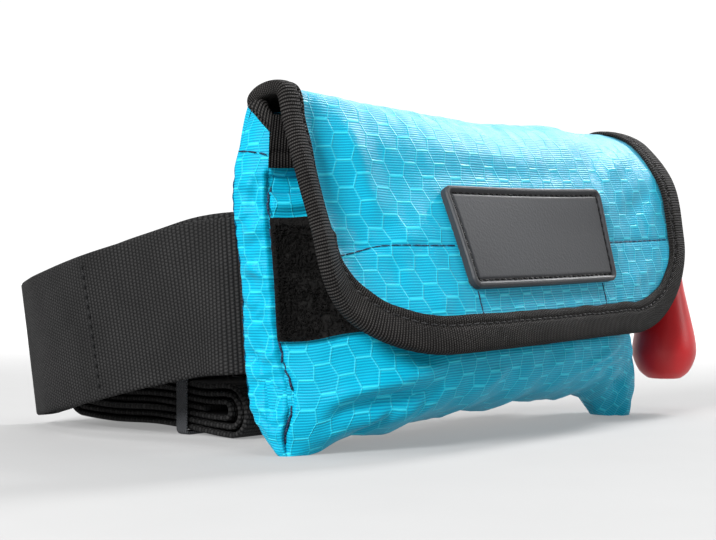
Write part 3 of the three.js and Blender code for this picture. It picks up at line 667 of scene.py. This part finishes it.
front_seam = outside[4:96, front_part.start] + 0.9 * seam_shadow_way
seam_shadow_thread = stitches(
    "front_seam_shadow_thread", front_seam, seam_shadow_way, navy_thread, pitch=2.6, long=3.0, thick=0.3,
)
wear(end_sewn, seam_shadow_thread, slot="pouch_cloth")

# Loop strip: the soft half of a touch fastener, black knitted backing with a pile of tiny nylon loops.
# It is sewn flat across the front panel, from seam to seam.
strip_low, strip_high, strip_half, wave_half = 26.5, 55, 73, 72
tuft_count, tuft_thick = 7000, 0.1


def lifted(surface, a, b, raised, near):
    """Point of a surface over a and b, raised off it along the cross product of its run over a and its
    run over b. Each run is taken between two neighbours, so far away as near says for a and b."""
    over_a = surface(a + near[0], b) - surface(a - near[0], b)
    over_b = surface(a, b + near[1]) - surface(a, b - near[1])
    return surface(a, b) + np.asarray(raised)[..., None] * unit(np.cross(over_a, over_b))


def on_front_panel(u, z, raised):
    """Point so far off the front of the pouch."""
    return lifted(front_panel, u, z, raised, near=(0.05 / mouth_z, 0.05))


def both_faces(top, under):
    """Loops round a sheet: over its top from one side to the other and back underneath."""
    return np.concatenate([top, under[:, ::-1]], axis=1)


def both_flat(across, down):
    """Flat places of a sheet's loops, the same on both faces."""
    flat = grid(across, down)
    return joined_on(both_faces(flat, flat))


pile_black, skin = finish("loop_pile_black", Roughness=0.9, Specular_IOR_Level=0.12)
where = object_place(skin)
tint(skin, cloud(where, 700, 4), (0.0006, 0.0006, 0.0006), (0.013, 0.0125, 0.012))
relief(skin, cloud(where, 1700, 3), 0.5)
strip_u = 0.998 * bunched(161)[None, :]
strip_z = np.linspace(strip_low, strip_high, 41)[:, None]
strip_rise = 1.15 + 0.12 * ripples(wave_half * strip_u, strip_z, pitch=5, seed=31)
strip_loops = both_faces(*(on_front_panel(strip_u, strip_z, raised) for raised in (strip_rise, 0.3)))
strip = lofted("loop_backing", strip_loops, both_flat(strip_half * strip_u, strip_z), pile_black)
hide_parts("loop_strip")
chance = np.random.default_rng(5)
tuft_u = np.sin(chance.uniform(-1, 1, tuft_count) * math.pi / 2) * 0.99
tuft_z = chance.uniform(strip_low + 0.4, strip_high - 1.5, tuft_count)
tuft_foot = on_front_panel(tuft_u, tuft_z, 1.0)
tuft_up = unit(on_front_panel(tuft_u, tuft_z, 2.0) - tuft_foot)
tuft_side = unit(np.cross(tuft_up, unit(chance.normal(size=(tuft_count, 3)))))
tuft_lean = np.cross(tuft_side, tuft_up)
tuft_tall = chance.uniform(0.6, 1.2, (tuft_count, 1, 1))
tuft_wide = chance.uniform(0.3, 0.8, (tuft_count, 1, 1))
tuft_arc = np.linspace(0, math.pi, 5)[None, :, None]
tuft_back, tuft_over = -tuft_lean[:, None] * np.cos(tuft_arc), tuft_up[:, None] * np.sin(tuft_arc)
tuft_line = tuft_foot[:, None] + tuft_back * tuft_wide + tuft_over * tuft_tall
tuft_out = (tuft_back + tuft_over)[:, :, None]
around = np.array([0, 2, 4])[None, None, :, None] * math.pi / 3
tuft_round = tuft_out * np.cos(around) + tuft_side[:, None, None] * np.sin(around)
pile = tubes("loop_pile", tuft_line[:, :, None] + tuft_thick * tuft_round, pile_black)
wear(strip, pile, slot="loop_pile")

# Mouth binding: black ribbed tape folded over the raw edge of the front panel and both ends, and sewn.
# On the front it reaches well down, so it shows as a broad black band under the flap.
mouth_leg_long = 11.5
tape_inner, tape_outer = 0.3, 1.1


def ribbed_weave(name, rib, bead, beaded, rib_highlight_power, worn, dark, light, roughness, gloss, depth):
    """Black tape or webbing: round ribs across it at the rib pitch, crossed by beads of thread that step
    by half a bead from rib to rib. The height is the rib times the bead's share, and the colour goes by
    the height to a given power, times soft patches of wear of a scale, detail and spread: painted
    highlights on the tops of the ribs and beads, and painted shade in the hollows between them."""
    material, skin = finish(name, Roughness=roughness, Specular_IOR_Level=gloss)
    _, run, over = cloth_place(skin)
    count = calc("MULTIPLY", run, 1 / rib)
    odd = calc("MODULO", calc("FLOOR", count), 2.0)
    stepped = calc("MULTIPLY_ADD", over, 1 / bead, calc("MULTIPLY", odd, 0.5))
    ridge, lump = (calc("ABSOLUTE", sine(turns, 2)) for turns in (count, stepped))
    woven = calc("MULTIPLY", ridge, calc("MULTIPLY_ADD", lump, beaded, 1 - beaded))
    scale, detail, spread = worn
    patches = calc("MULTIPLY_ADD", cloud(object_place(skin), scale, detail), spread, 0.4)
    # Painted highlights and painted shade: the colour follows the height, lighter on the rib and bead tops
    # and darker in the hollows.
    tint(skin, calc("MULTIPLY", calc("POWER", woven, rib_highlight_power), patches), dark, light)
    relief(skin, woven, depth)
    return material


def folded_tape(leg, low, high, under):
    """Section of a tape folded over an edge, as pairs of reach past the edge and rise over the cloth. Both
    legs swell a little and dip along the stitches, the outer turn goes round the edge, and the inner turn
    comes back inside it. The leg under the cloth has a length of its own."""
    leg, under = leg[:, None], under[:, None]
    share = np.append(np.linspace(-1, -0.5, 12), np.linspace(-0.42, 0, 6))[None, :]
    round_edge = np.linspace(0, math.pi, 11)[None, 1:-1]
    middle, half = (high + low) / 2, (high - low) / 2
    swell = 0.28 * np.sin(math.pi * (share + 1)) ** 0.7 - 0.22 * smooth_between(-0.9, -1.0, share)
    swell = swell - 0.42 * bell(share, -0.7, 0.07)
    turns = []
    for off, puff in ((tape_outer, swell), (tape_inner, 0 * swell)):
        rise = half + off + puff + 0 * leg
        reach = [leg * share, off * np.sin(round_edge) + 0 * leg, (under * share)[:, ::-1]]
        height = [rise, (half + off) * np.cos(round_edge) + 0 * leg, -rise[:, ::-1]]
        turns.append(grid(np.concatenate(reach, axis=1), middle + np.concatenate(height, axis=1)))
    return both_faces(*turns)


def tape_flat(along, section):
    """Flat places of a tape: its length at each station, and the distance over its section."""
    over = np.cumsum(np.linalg.norm(np.diff(section, axis=1, prepend=section[:, :1]), axis=2), axis=1)
    return grid(along[:, None], np.append(over, over[:, -1:] + tape_outer - tape_inner, axis=1))


# Its light colour is the painted highlight on the rib tops, and its dark colour the painted shade between
# them.
tape_black = ribbed_weave(
    "binding_black_grosgrain", rib=0.74, bead=0.55, beaded=0.45, rib_highlight_power=2.4, worn=(160, 4, 1.1),
    dark=(0.0006, 0.0006, 0.0007), light=(0.052, 0.049, 0.047), roughness=0.7, gloss=0.08, depth=0.32,
)
mouth_u = bunched(301)
mouth_ends = np.linspace(0.9, 0.05, 24)
mouth_leg = mouth_leg_long + 0.22 * ripples(strip_half * mouth_u, 0 * mouth_u, pitch=9, seed=41)
end_leg = np.linspace(0.8, 3.4, 24)
front_section = folded_tape(mouth_leg, -cloth_thick, 0.0, mouth_leg)
end_section = folded_tape(end_leg, -cloth_thick, 0.0, end_leg)
end_reach, end_rise = mouth_z + end_section[..., 0], -end_section[..., 1]
mouth_loops = np.concatenate([
    end_panel(-1, mouth_ends[:, None], end_reach, end_rise),
    front_panel(mouth_u[:, None], mouth_z + front_section[..., 0], -front_section[..., 1]),
    end_panel(1, mouth_ends[::-1, None], end_reach[::-1], end_rise[::-1]),
])
mouth_section = np.concatenate([end_section, front_section, end_section[::-1]])
on_edge = 22
mouth_flat = tape_flat(lengths(mouth_loops[:, on_edge]), mouth_section)
mouth_tape = lofted("mouth_tape", mouth_loops, mouth_flat, tape_black)
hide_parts("mouth_binding")
wear(mouth_tape, slot="binding_tape")

# Flap: one layer of the same blue cloth, sewn to the back, folded over the mouth and down the front.
# Its lower corners are rounded; its left edge curls up, and short seams run from the patch to the tape.
# The lists give depth and height at distances down the cloth, one list for each line down the flap.
flap_x0, flap_half, flap_long = 2.5, 76.4, 92
corner_wide, corner_tall = 33, 25
side_long, low_half = flap_long - corner_tall, flap_half - corner_wide
half_thick = 0.6
patch_x0 = 1.4
seam_s, seam_high = 66.5, 0.66
flap_s = [0, 13, 20, 28, 36, 50, 65, 80, 88, 94]
depth_u = [-1, -0.87, -0.45, 0.45, 1]
flap_depth = [
    [13.6, 10.1, 6.2, -0.2, -2.8, -7.5, -12.6, -15.6, -17, -17.6],
    [13.6, 11.8, 6.8, -0.4, -2.4, -4.4, -9.2, -14.8, -18, -20],
    [13.6, 11.8, 6.2, -1.4, -7, -12.2, -18, -23.4, -25.6, -26.6],
    [13.6, 11.8, 6.2, -1.8, -8.4, -15, -18.6, -21.8, -23.2, -24],
    [13.6, 11.8, 6.8, -0.6, -7.4, -16, -19.1, -20.4, -20.4, -20],
]
height_u = [-1, 0, 1]
flap_height = [
    [68.5, 80.7, 84.4, 84.3, 76.8, 63.6, 49.5, 34.8, 27, 21.2],
    [68.5, 81, 83.4, 82.4, 77.6, 65.2, 51.2, 37, 29.4, 23.8],
    [68.5, 81.2, 85, 84.4, 80.6, 69.5, 54.7, 39.8, 31.8, 25.8],
]


def flap_middle(x, s):
    """Middle of the flap's cloth at x across and s down it: depth through five lines down the flap (left
    edge, inside of the left tape, two middle lines, right edge) and height through three."""
    x, s = np.broadcast_arrays(x, s)
    u = (x - flap_x0) / flap_half
    depth = np.stack([through(flap_s, row, s) for row in flap_depth])
    height = np.stack([through(flap_s, row, s) for row in flap_height])
    return grid(x, through(depth_u, depth, u), through(height_u, height, u))


def flap_point(x, s, raised):
    """Point so far off the middle of the flap's cloth."""
    return lifted(flap_middle, x, s, raised, near=(0.05, -0.05))


def flap_folds(x, s):
    """Rise of the flap's cloth by its folds: a hollow beside the curled edge, pulls toward the corners,
    a pinch along each level seam and soft waves, none of it at the tape or under the patch."""
    folds = creases(x, s, [
        (-69, 30, -61, 62, -1.2, 3.2), (-57, 31, -50, 62, 1.4, 4.0), (-62, 72, -34, 60, 0.6, 3.0),
        (-52, 86, -30, 74, 0.5, 2.6), (40, 48, 68, 36, 0.9, 3.6), (42, 62, 72, 50, -0.9, 3.6),
        (40, 80, 62, 73, 0.6, 2.6), (-40, 40, 40, 43, 0.6, 4.5), (1, 12, 1, 44, -0.7, 8.0),
        (35, 12, 35, 44, 1.0, 7.0), (54, 12, 54, 44, -0.6, 6.0),
    ])
    from_patch = np.abs(x - patch_x0)
    seams = -0.32 * bell(s, seam_s, 0.8) * (from_patch > 33)
    waves = 0.28 * ripples(x, s, pitch=26, seed=51) + 0.08 * ripples(x, s, pitch=7, seed=52)
    patch = smooth_between(46, 51, s) * (1 - smooth_between(78, 82, s))
    patch = patch * (1 - smooth_between(33, 38, from_patch))
    inside = smooth_between(0, 9, flap_half - np.abs(x - flap_x0)) * smooth_between(0, 10, flap_long - s)
    return (folds + seams + waves) * inside * smooth_between(12, 26, s) * (1 - patch)


def on_flap(x, s, raised):
    """Path on the flap's cloth with its folds, and the outward direction along it."""
    rise = flap_folds(x, s)
    path = flap_point(x, s, rise + raised)
    return path, flap_point(x, s, rise + raised + 1) - path


straight_s = np.linspace(0, side_long, 120)
corner = np.linspace(0, math.pi / 2, 46)[1:]
flap_rows = np.append(straight_s, side_long + corner_tall * np.sin(corner))[:, None]
flap_reach = np.append(np.full(120, flap_half), low_half + corner_wide * np.cos(corner))[:, None]
flap_x = flap_x0 + flap_reach * bunched(201)
flap_rise = flap_folds(flap_x, flap_rows)
flap_faces = [flap_point(flap_x, flap_rows, flap_rise + side) for side in (half_thick, -half_thick)]
flap_blue = ripstop("flap_blue_ripstop", gloss=0.15, sheen=0.15)
flap_cloth = lofted("flap_cloth", both_faces(*flap_faces), both_flat(flap_x, -flap_rows), flap_blue)
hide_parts("flap")
left_x = np.linspace(-66.5, -32.6, 90)
short_s = np.linspace(77.9, 85.4, 30)
seam_lines = [
    (left_x, seam_s + 2.2 * smooth_between(-52, -66, left_x)),
    (np.linspace(35.4, 70.5, 90), np.full(90, seam_s)),
    (np.full(30, -29.5), short_s),
    (np.full(30, 30.0), short_s),
]
flap_seams = [
    stitches(f"flap_seam_{i + 1}", *on_flap(*line, seam_high), navy_thread, pitch=2.7, long=3.1, thick=0.19)
    for i, line in enumerate(seam_lines)
]
wear(flap_cloth, *flap_seams, slot="pouch_cloth")

# Flap binding: black ribbed tape folded over the flap's two sides and lower edge, sewn with one dark row.
# Round the curled left edge it is rolled narrow, and it widens toward the corner.
tape_top, tape_leg, sewn_high = 13.6, 8.0, 1.72
edge_down = np.linspace(tape_top, side_long, 150)
edge_turn = np.linspace(0, math.pi / 2, 70)[1:]
edge_low = np.linspace(-low_half, low_half, 150)[1:-1]
turn_x, turn_s = np.cos(edge_turn), np.sin(edge_turn)
turn_out = unit(np.stack([turn_x / corner_wide, turn_s / corner_tall], axis=1))
quarter = grid(low_half + corner_wide * turn_x, side_long + corner_tall * turn_s, *turn_out.T)
right_half = np.concatenate([grid(flap_half, edge_down, 1, 0), quarter])
left_half = right_half * (-1, 1, -1, 1)
flap_edge = np.concatenate([left_half, grid(edge_low, flap_long, 0, 1), right_half[::-1]])
edge_s = flap_edge[:, 1]
edge_run = lengths(flap_edge[:, :2])
on_left = flap_edge[:, 0] < -60
rolled = 4.5 + 1.5 * smooth_between(62.6, 64, edge_s) + 2 * smooth_between(65, 80, edge_s)
rolled = rolled + 0.8 * bell(edge_s, 64.2, 1.1)
flap_leg = np.where(on_left, rolled, tape_leg) + 0.16 * ripples(edge_run, 0 * edge_run, pitch=15, seed=61)
under_leg = np.where(on_left, 20 - 12 * smooth_between(34, 60, edge_s), tape_leg)
from_end = np.minimum(edge_run, edge_run[-1] - edge_run)
tucked = np.sqrt(1 - np.clip(0.99 - from_end / 3, 0, 1) ** 2)


def on_flap_edge(out, raised):
    """Points off the flap's cloth at a reach past its edge, one row for each station of the edge."""
    x = flap_x0 + flap_edge[:, :1] + flap_edge[:, 2:3] * out
    return flap_point(x, edge_s[:, None] + flap_edge[:, 3:] * out, raised)


edge_section = folded_tape(flap_leg, -half_thick, half_thick, under_leg) * tucked[:, None, None]
edge_loops = on_flap_edge(edge_section[..., 0], edge_section[..., 1])
flap_tape = lofted("flap_tape", edge_loops, tape_flat(edge_run, edge_section), tape_black)
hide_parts("flap_binding")
black_thread = thread("black_thread", (0.006, 0.006, 0.0065), (0.03, 0.03, 0.031))
sewn_in = -0.7 * flap_leg[:, None]
tape_path, tape_over = (on_flap_edge(sewn_in, raised)[10:-10, 0] for raised in (sewn_high, sewn_high + 1))
tape_stitches = stitches(
    "flap_tape_stitches", tape_path, tape_over - tape_path, black_thread, pitch=2.6, long=1.9, thick=0.22,
)
wear(flap_tape, tape_stitches, slot="binding_tape")

# Rubber patch: dark moulded rubber with rounded corners, a raised rim and a sewing groove inside it.
# It is sewn flat on the flap through the groove, and its field is left bare.
patch_s0 = 64.6
patch_half_x, patch_half_s, patch_round = 33.6, 13.2, 2.5
patch_low, patch_high, rim_high = 0.9, 2.6, 0.4
groove_in, groove_deep, groove_cut, groove_high = 1.9, 0.5, 0.7, 2.35
patch_black, skin = finish("patch_charcoal_rubber", Specular_IOR_Level=0.35)
where = object_place(skin)
smear = cloud(where, 70, 4)
tint(skin, smear, (0.018, 0.019, 0.022), (0.030, 0.032, 0.036))
roughen(skin, smear, 0.25, 0.42)
relief(skin, cloud(where, 1500, 3), 0.06)
patch_s = patch_s0 + patch_half_s * bunched(101)[:, None]
past_s = np.abs(patch_s - patch_s0) - (patch_half_s - patch_round)
corner_in = np.sqrt(np.maximum(patch_round**2 - np.maximum(past_s, 0) ** 2, 0))
patch_x = patch_x0 + (patch_half_x - patch_round + corner_in) * bunched(161)
past_x = np.abs(patch_x - patch_x0) - (patch_half_x - patch_round)
patch_in = patch_round - np.hypot(np.maximum(past_x, 0), np.maximum(past_s, 0))
patch_in = patch_in - np.minimum(np.maximum(past_x, past_s), 0)
patch_rim = rim_high * (1 - smooth_between(1.0, 1.4, patch_in))
patch_edge = 0.55 * (1 - smooth_between(0, 0.6, patch_in)) ** 2
patch_top = patch_high + patch_rim - patch_edge - groove_deep * bell(patch_in, groove_in, 0.4)
patch_loops = both_faces(*(flap_point(patch_x, patch_s, raised) for raised in (patch_top, patch_low)))
patch = lofted("patch", patch_loops, both_flat(patch_x, -patch_s), patch_black)
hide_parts("rubber_patch")
groove_x, groove_s = patch_half_x - groove_in, patch_half_s - groove_in
cut_x, cut_s = groove_x - groove_cut, groove_s - groove_cut
groove = np.array([
    (-cut_x, -groove_s), (cut_x, -groove_s), (groove_x, -cut_s), (groove_x, cut_s), (cut_x, groove_s),
    (-cut_x, groove_s), (-groove_x, cut_s), (-groove_x, -cut_s), (-cut_x, -groove_s),
])
groove_run = lengths(groove)
groove_at = np.linspace(0, groove_run[-1], 500)
groove_line = [np.interp(groove_at, groove_run, column) for column in groove.T]
groove_path, groove_over = (
    flap_point(patch_x0 + groove_line[0], patch_s0 + groove_line[1], raised)
    for raised in (groove_high, groove_high + 1)
)
soot_thread = thread("soot_thread", (0.0012, 0.0012, 0.0014), (0.007, 0.007, 0.0075))
patch_stitches = stitches(
    "patch_stitches", groove_path, groove_over - groove_path, soot_thread, pitch=2.4, long=2.1, thick=0.26,
)
wear(patch, patch_stitches, slot="patch_rubber")

# Back sleeve: black cloth tunnel sewn to the back along its upper and lower edges; the belt runs through it.
# It stands off the back by the belt's thickness between the two seams.
sleeve_half, sleeve_y, sleeve_thick = 56, 16.75, 0.8
sleeve_off, sleeve_sewn_off = 1.4, 1.86
sleeve_z = [13, 16, 17.1, 18.6, 38, 57.4, 58.9, 60.5, 65]
sleeve_lift = [0, 0, 0.9, 1, 1, 1, 0.9, 0, 0]
sleeve_spans = ((13, 16, 9), (16, 19, 13), (19, 57, 39), (57, 61, 13), (61, 65, 9))
sleeve_seams = (14.4, 63.2)


def back_at(x, z):
    """Depth of the pouch's back at x and at a true height z, with the level found back from the arch."""
    u = x / at_level(pouch_half, z)
    arch = through(arch_u, arch_z, u)
    level = (z - arch) / (1 - arch / mouth_z)
    return at_level(pouch_back, level) - at_level(pouch_back_bulge, level) * panel_fullness(u, level)


def plain_weave(name, dark, light, pitch):
    """Plain woven cloth: over and under threads both ways at one pitch, with soft changes of tone."""
    material, skin = finish(name, Roughness=0.8, Specular_IOR_Level=0.2)
    _, run, over = cloth_place(skin)
    woven = half_up(calc("MULTIPLY", sine(run, pitch), sine(over, pitch)))
    tone = calc("MULTIPLY_ADD", cloud(object_place(skin), 110, 4), 0.8, 0.4)
    tint(skin, calc("MULTIPLY", woven, tone), dark, light)
    relief(skin, woven, 0.18)
    return material


sleeve_x = np.linspace(-sleeve_half, sleeve_half, 121)
sleeve_rows = [np.linspace(low, high, count, endpoint=False) for low, high, count in sleeve_spans]
sleeve_rows = np.append(np.concatenate(sleeve_rows), sleeve_z[-1])[:, None]
sleeve_seam = back_at(sleeve_x, sleeve_rows) + sleeve_off
sleeve_up = np.interp(sleeve_rows, sleeve_z, sleeve_lift)
sleeve_wave = np.maximum(0.25 * ripples(sleeve_x, sleeve_rows, pitch=24, seed=71) * sleeve_up, -0.1)
sleeve_depth = sleeve_seam + (sleeve_y - sleeve_seam) * sleeve_up + sleeve_wave
sleeve_middle = grid(sleeve_x, sleeve_depth, sleeve_rows)
sleeve_out = -sleeve_thick / 2 * outward(sleeve_middle)
sleeve_loops = both_faces(sleeve_middle + sleeve_out, sleeve_middle - sleeve_out)
sleeve_down = lengths(sleeve_middle[:, len(sleeve_x) // 2])
sleeve_black = plain_weave("sleeve_black_cloth", (0.006, 0.006, 0.007), (0.030, 0.030, 0.033), 0.9)
sleeve = lofted("sleeve", sleeve_loops, both_flat(sleeve_x, sleeve_down[:, None]), sleeve_black)
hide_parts("back_sleeve")
sleeve_sewn = []
for i, z in enumerate(sleeve_seams):
    sewn = grid(sleeve_x, back_at(sleeve_x, np.full(len(sleeve_x), z)) + sleeve_sewn_off, z)
    sewn = stitches(f"sleeve_seam_{i + 1}", sewn, (0, 1, 0), black_thread, pitch=2.8, long=2.1, thick=0.22)
    sleeve_sewn.append(sewn)
wear(sleeve, *sleeve_sewn, slot="sleeve_cloth")

# Belt: black woven webbing of 38 mm, out of the sleeve on the left, back to a fold and in again to the clasp.
# The outer run is sewn across once, and the loop leans a little as it reaches back.
# Each row of its path is a place and how far its upper edge leans back.
web_wide, web_thick = 38.0, 1.5
belt_rows = np.array([
    (14.4, 22.6, 38, 0), (40, 22.8, 38, 0), (60, 22.6, 38, 0), (67.5, 21.4, 38, 0), (70.2, 18.6, 38, 0),
    (67.5, 15.9, 38, 0), (60, 14.9, 38, 0), (30, 14.8, 38, 0), (-10, 14.8, 38, 0), (-44, 14.8, 38, 0),
    (-56, 15.1, 37.6, 0), (-65, 17.2, 37.2, 0.04), (-69.4, 22, 36.8, 0.07), (-70.8, 32, 36, 0.11),
    (-73.2, 49, 32.7, 0.17), (-75, 66, 28.8, 0.19), (-74, 82, 25.6, 0.2), (-69, 98, 22.8, 0.2),
    (-64.6, 107.4, 21.4, 0.2), (-62, 110.2, 21, 0.2), (-59.6, 109.4, 21.1, 0.2), (-59.8, 105.6, 21.7, 0.2),
    (-64, 97, 23.2, 0.2), (-68.6, 82, 26.2, 0.2), (-69.8, 66, 29.8, 0.19), (-67.5, 50, 34.2, 0.17),
    (-63.2, 36, 38, 0.1), (-58, 28, 39, 0.04), (-50, 24, 38.8, 0), (-38, 22.8, 38.2, 0), (-12.4, 22.6, 38, 0),
])
belt_count, tack_y, tack_high = 900, 66, 0.85


def spread(values, count):
    """Values at even steps of their number, straight between each two."""
    return np.interp(np.linspace(0, len(values) - 1, count), np.arange(len(values)), values)


def strap(name, path, across, material, wide=web_wide, thick=web_thick, rise=None, ring=False):
    """Flat strap along a path: at each point a section with round edges, its width along the given
    direction made square to the run, and both faces moved by the rise over length and width."""
    before, after = np.roll(path, 1, axis=0), np.roll(path, -1, axis=0)
    run = unit(after - before if ring else np.gradient(path, axis=0))
    side = unit(across - run * np.sum(across * run, axis=1, keepdims=True))
    face = np.cross(run, side)
    over = bunched(25) * wide / 2
    past_flat = np.maximum(np.abs(over) - (wide - thick) / 2, 0) / (thick / 2)
    edge = np.sqrt(np.maximum(1 - past_flat**2, 0.06))
    along = lengths(path)
    lift = rise(along[:, None], over)[..., None] if rise else 0.0
    flat = path[:, None] + side[:, None] * over[:, None] + face[:, None] * lift
    half = face[:, None] * edge[:, None] * thick / 2
    if ring:
        along = np.append(along, along[-1] + np.linalg.norm(path[0] - path[-1]))
    around = np.concatenate([over, over[::-1], over[:1]])
    made = lofted(name, both_faces(flat + half, flat - half), grid(along[:, None], around), material, ring)
    return made, flat, face, along


# Its light colour is the painted highlight on the rib tops, and its dark colour the painted shade between
# them.
belt_black = ribbed_weave(
    "belt_black_webbing", rib=1.15, bead=0.9, beaded=0.65, rib_highlight_power=1, worn=(90, 5, 0.9),
    dark=(0.0016, 0.0016, 0.0018), light=(0.029, 0.0285, 0.0285), roughness=0.72, gloss=0.12, depth=0.3,
)
belt_path = flowing(belt_rows[:, :3], belt_count)
belt_x, belt_y, _ = belt_path.T
belt_free = smooth_between(28, 45, belt_y) * (1 - smooth_between(95, 104, belt_y))


def belt_wave(along, over):
    """Slight waves of the belt where it is free, stronger toward its two edges."""
    waves = 0.3 * ripples(along, over, pitch=38, seed=81)
    return waves * belt_free[:, None] * (0.4 + (over / (web_wide / 2)) ** 2)


belt_across = grid(0, spread(belt_rows[:, 3], belt_count), 1)
belt, belt_flat, belt_face, belt_along = strap("belt", belt_path, belt_across, belt_black, rise=belt_wave)
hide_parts("belt_strap")
outer_run = np.flatnonzero((belt_y > 40) & (belt_x < -70))
tack = outer_run[np.argmin(np.abs(belt_y[outer_run] - tack_y))]
tack_out = belt_face[tack] * -np.sign(belt_face[tack, 0])
tack_path = belt_flat[tack, 4:21] + tack_out * tack_high
belt_tack = stitches("belt_tack", tack_path, tack_out, soot_thread, pitch=2.6, long=2.2, thick=0.5)
wear(belt, belt_tack, slot="belt_webbing")

# Clasp: black moulded plastic block behind the pouch, where the belt's two ends are fastened together.
# It is hidden behind the pouch, so it is one plain rounded piece.
clasp_x0, clasp_y0, clasp_z0 = 1, 22.6, 38
clasp_half_x, clasp_half_z, clasp_round = 13, 21, 4
clasp_black, skin = finish("clasp_black_plastic", Specular_IOR_Level=0.3)
where = object_place(skin)
tint(skin, cloud(where, 120, 4), (0.009, 0.009, 0.010), (0.018, 0.018, 0.019))
roughen(skin, cloud(where, 500, 3), 0.2, 0.45)
relief(skin, cloud(where, 2400, 2), 0.05)
turn = np.linspace(0, 2 * math.pi, 120, endpoint=False)
clasp_y = clasp_y0 + np.array([-2.5, -2.5, -2.42, -2.2, -1.9, 0, 1.9, 2.2, 2.42, 2.5, 2.5])[:, None]
clasp_in = np.array([1.2, 0.6, 0.25, 0.06, 0, 0, 0, 0.06, 0.25, 0.6, 1.2])[:, None]
clasp_x, clasp_z = (
    middle + np.sign(way) * (half - clasp_round) + (clasp_round - clasp_in) * way
    for middle, half, way in ((clasp_x0, clasp_half_x, np.cos(turn)), (clasp_z0, clasp_half_z, np.sin(turn)))
)
clasp_flat = grid(np.linspace(0, 130, 121), clasp_y)
clasp = lofted("clasp", grid(clasp_x, clasp_y, clasp_z), clasp_flat, clasp_black, sharp=50)
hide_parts("belt_buckle")
wear(clasp, slot="buckle_plastic")

# Belt tail: the surplus of the same webbing, turned flat behind the clasp and rolled up flat in eight layers.
# Each turn lies round the one inside it, a little out of line, and the end is in the eye of the roll.
# A row of the lead is a place and its width's direction in X and Z; one of the hank is a layer and its ends.
lead_rows = np.array([
    (-4, 27.4, 38, 0, 1), (-14, 27.8, 37.6, 0, 1), (-25, 31, 36, -0.3, 0.95), (-32, 39, 32, -0.75, 0.65),
    (-35.4, 52, 26.5, -0.97, 0.2), (-36, 68, 21.5, -1, 0), (-36, 84, 18, -1, 0),
])
hank_rows = [
    (7, 87, 97), (0, 97, 36.5), (6, 36.5, 96.8), (1, 96.8, 36.8),
    (5, 36.8, 96.6), (2, 96.6, 38.5), (4, 38.5, 96.3), (3, 96.3, 46),
]
hank_x, layer_pitch, eye_y = -36, 1.9, 38
base_y = [26, 40, 54, 66, 84, 104]
base_z = [0, 0.3, 1.5, 2, 1.6, 2.6]


def hank_at(y, layer):
    """Point in the middle of a layer of the hank at depth y: one pitch for each layer, and more about the
    eye, over a slightly humped base."""
    drift = 0.8 * np.sin(2.4 * layer) * smooth_between(58, 70, y) * (1 - smooth_between(86, 96, y))
    pitch = layer_pitch + 0.2 * bell(y, eye_y, 6)
    return grid(hank_x + drift, y, through(base_y, base_z, y) + web_thick / 2 + layer * pitch)


lead_count = 120
tail_path = [flowing(lead_rows[:, :3], lead_count)]
bend = np.linspace(0, math.pi, 24)[1:-1]
for i, (layer, start, stop) in enumerate(hank_rows):
    tail_path.append(hank_at(np.linspace(start, stop, 40)[1 if i == 0 else 0:], layer))
    if i < len(hank_rows) - 1:
        half = (layer - hank_rows[i + 1][0]) / 2
        reach = math.copysign(half * layer_pitch, stop - start) * np.sin(bend)
        tail_path.append(hank_at(stop + reach, layer - half * (1 - np.cos(bend))))
tail_path = np.concatenate(tail_path)
tail_across = np.tile((-1.0, 0.0, 0.0), (len(tail_path), 1))
tail_across[:lead_count] = grid(spread(lead_rows[:, 3], lead_count), 0, spread(lead_rows[:, 4], lead_count))
tail, _, _, tail_along = strap("belt_tail_webbing", tail_path, tail_across, belt_black)
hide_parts("belt_tail")
wear(tail, slot="belt_webbing")

# Tail band: flat dark grey elastic stretched once round the hank, and what the hank rests on.
# Its edges are round and fine threads run along it.
band_y, band_wide, band_thick, band_round = 53.7, 4.0, 0.9, 1.2
band_gap, banded_layer = 0.3, 6
band_grey = plain_weave("band_grey_elastic", (0.022, 0.024, 0.027), (0.085, 0.088, 0.094), 0.7)
band_reach = band_gap + band_thick / 2
band_half = web_wide / 2 + band_reach - band_round
band_low = band_thick / 2 + band_round
band_high = hank_at(band_y, banded_layer)[2] + web_thick / 2 + band_reach - band_round
band_path = []
for quarter, (side, z) in enumerate(((1, band_high), (-1, band_high), (-1, band_low), (1, band_low))):
    angle = np.linspace(0, math.pi / 2, 10) + quarter * math.pi / 2
    x = hank_x + side * band_half + band_round * np.cos(angle)
    band_path.append(grid(x, band_y, z + band_round * np.sin(angle)))
band_path = np.concatenate(band_path)
band_across = np.tile((0.0, 1.0, 0.0), (len(band_path), 1))
band, *_ = strap("tail_band_elastic", band_path, band_across, band_grey, band_wide, band_thick, ring=True)
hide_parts("tail_band")
wear(band, slot="band_elastic")
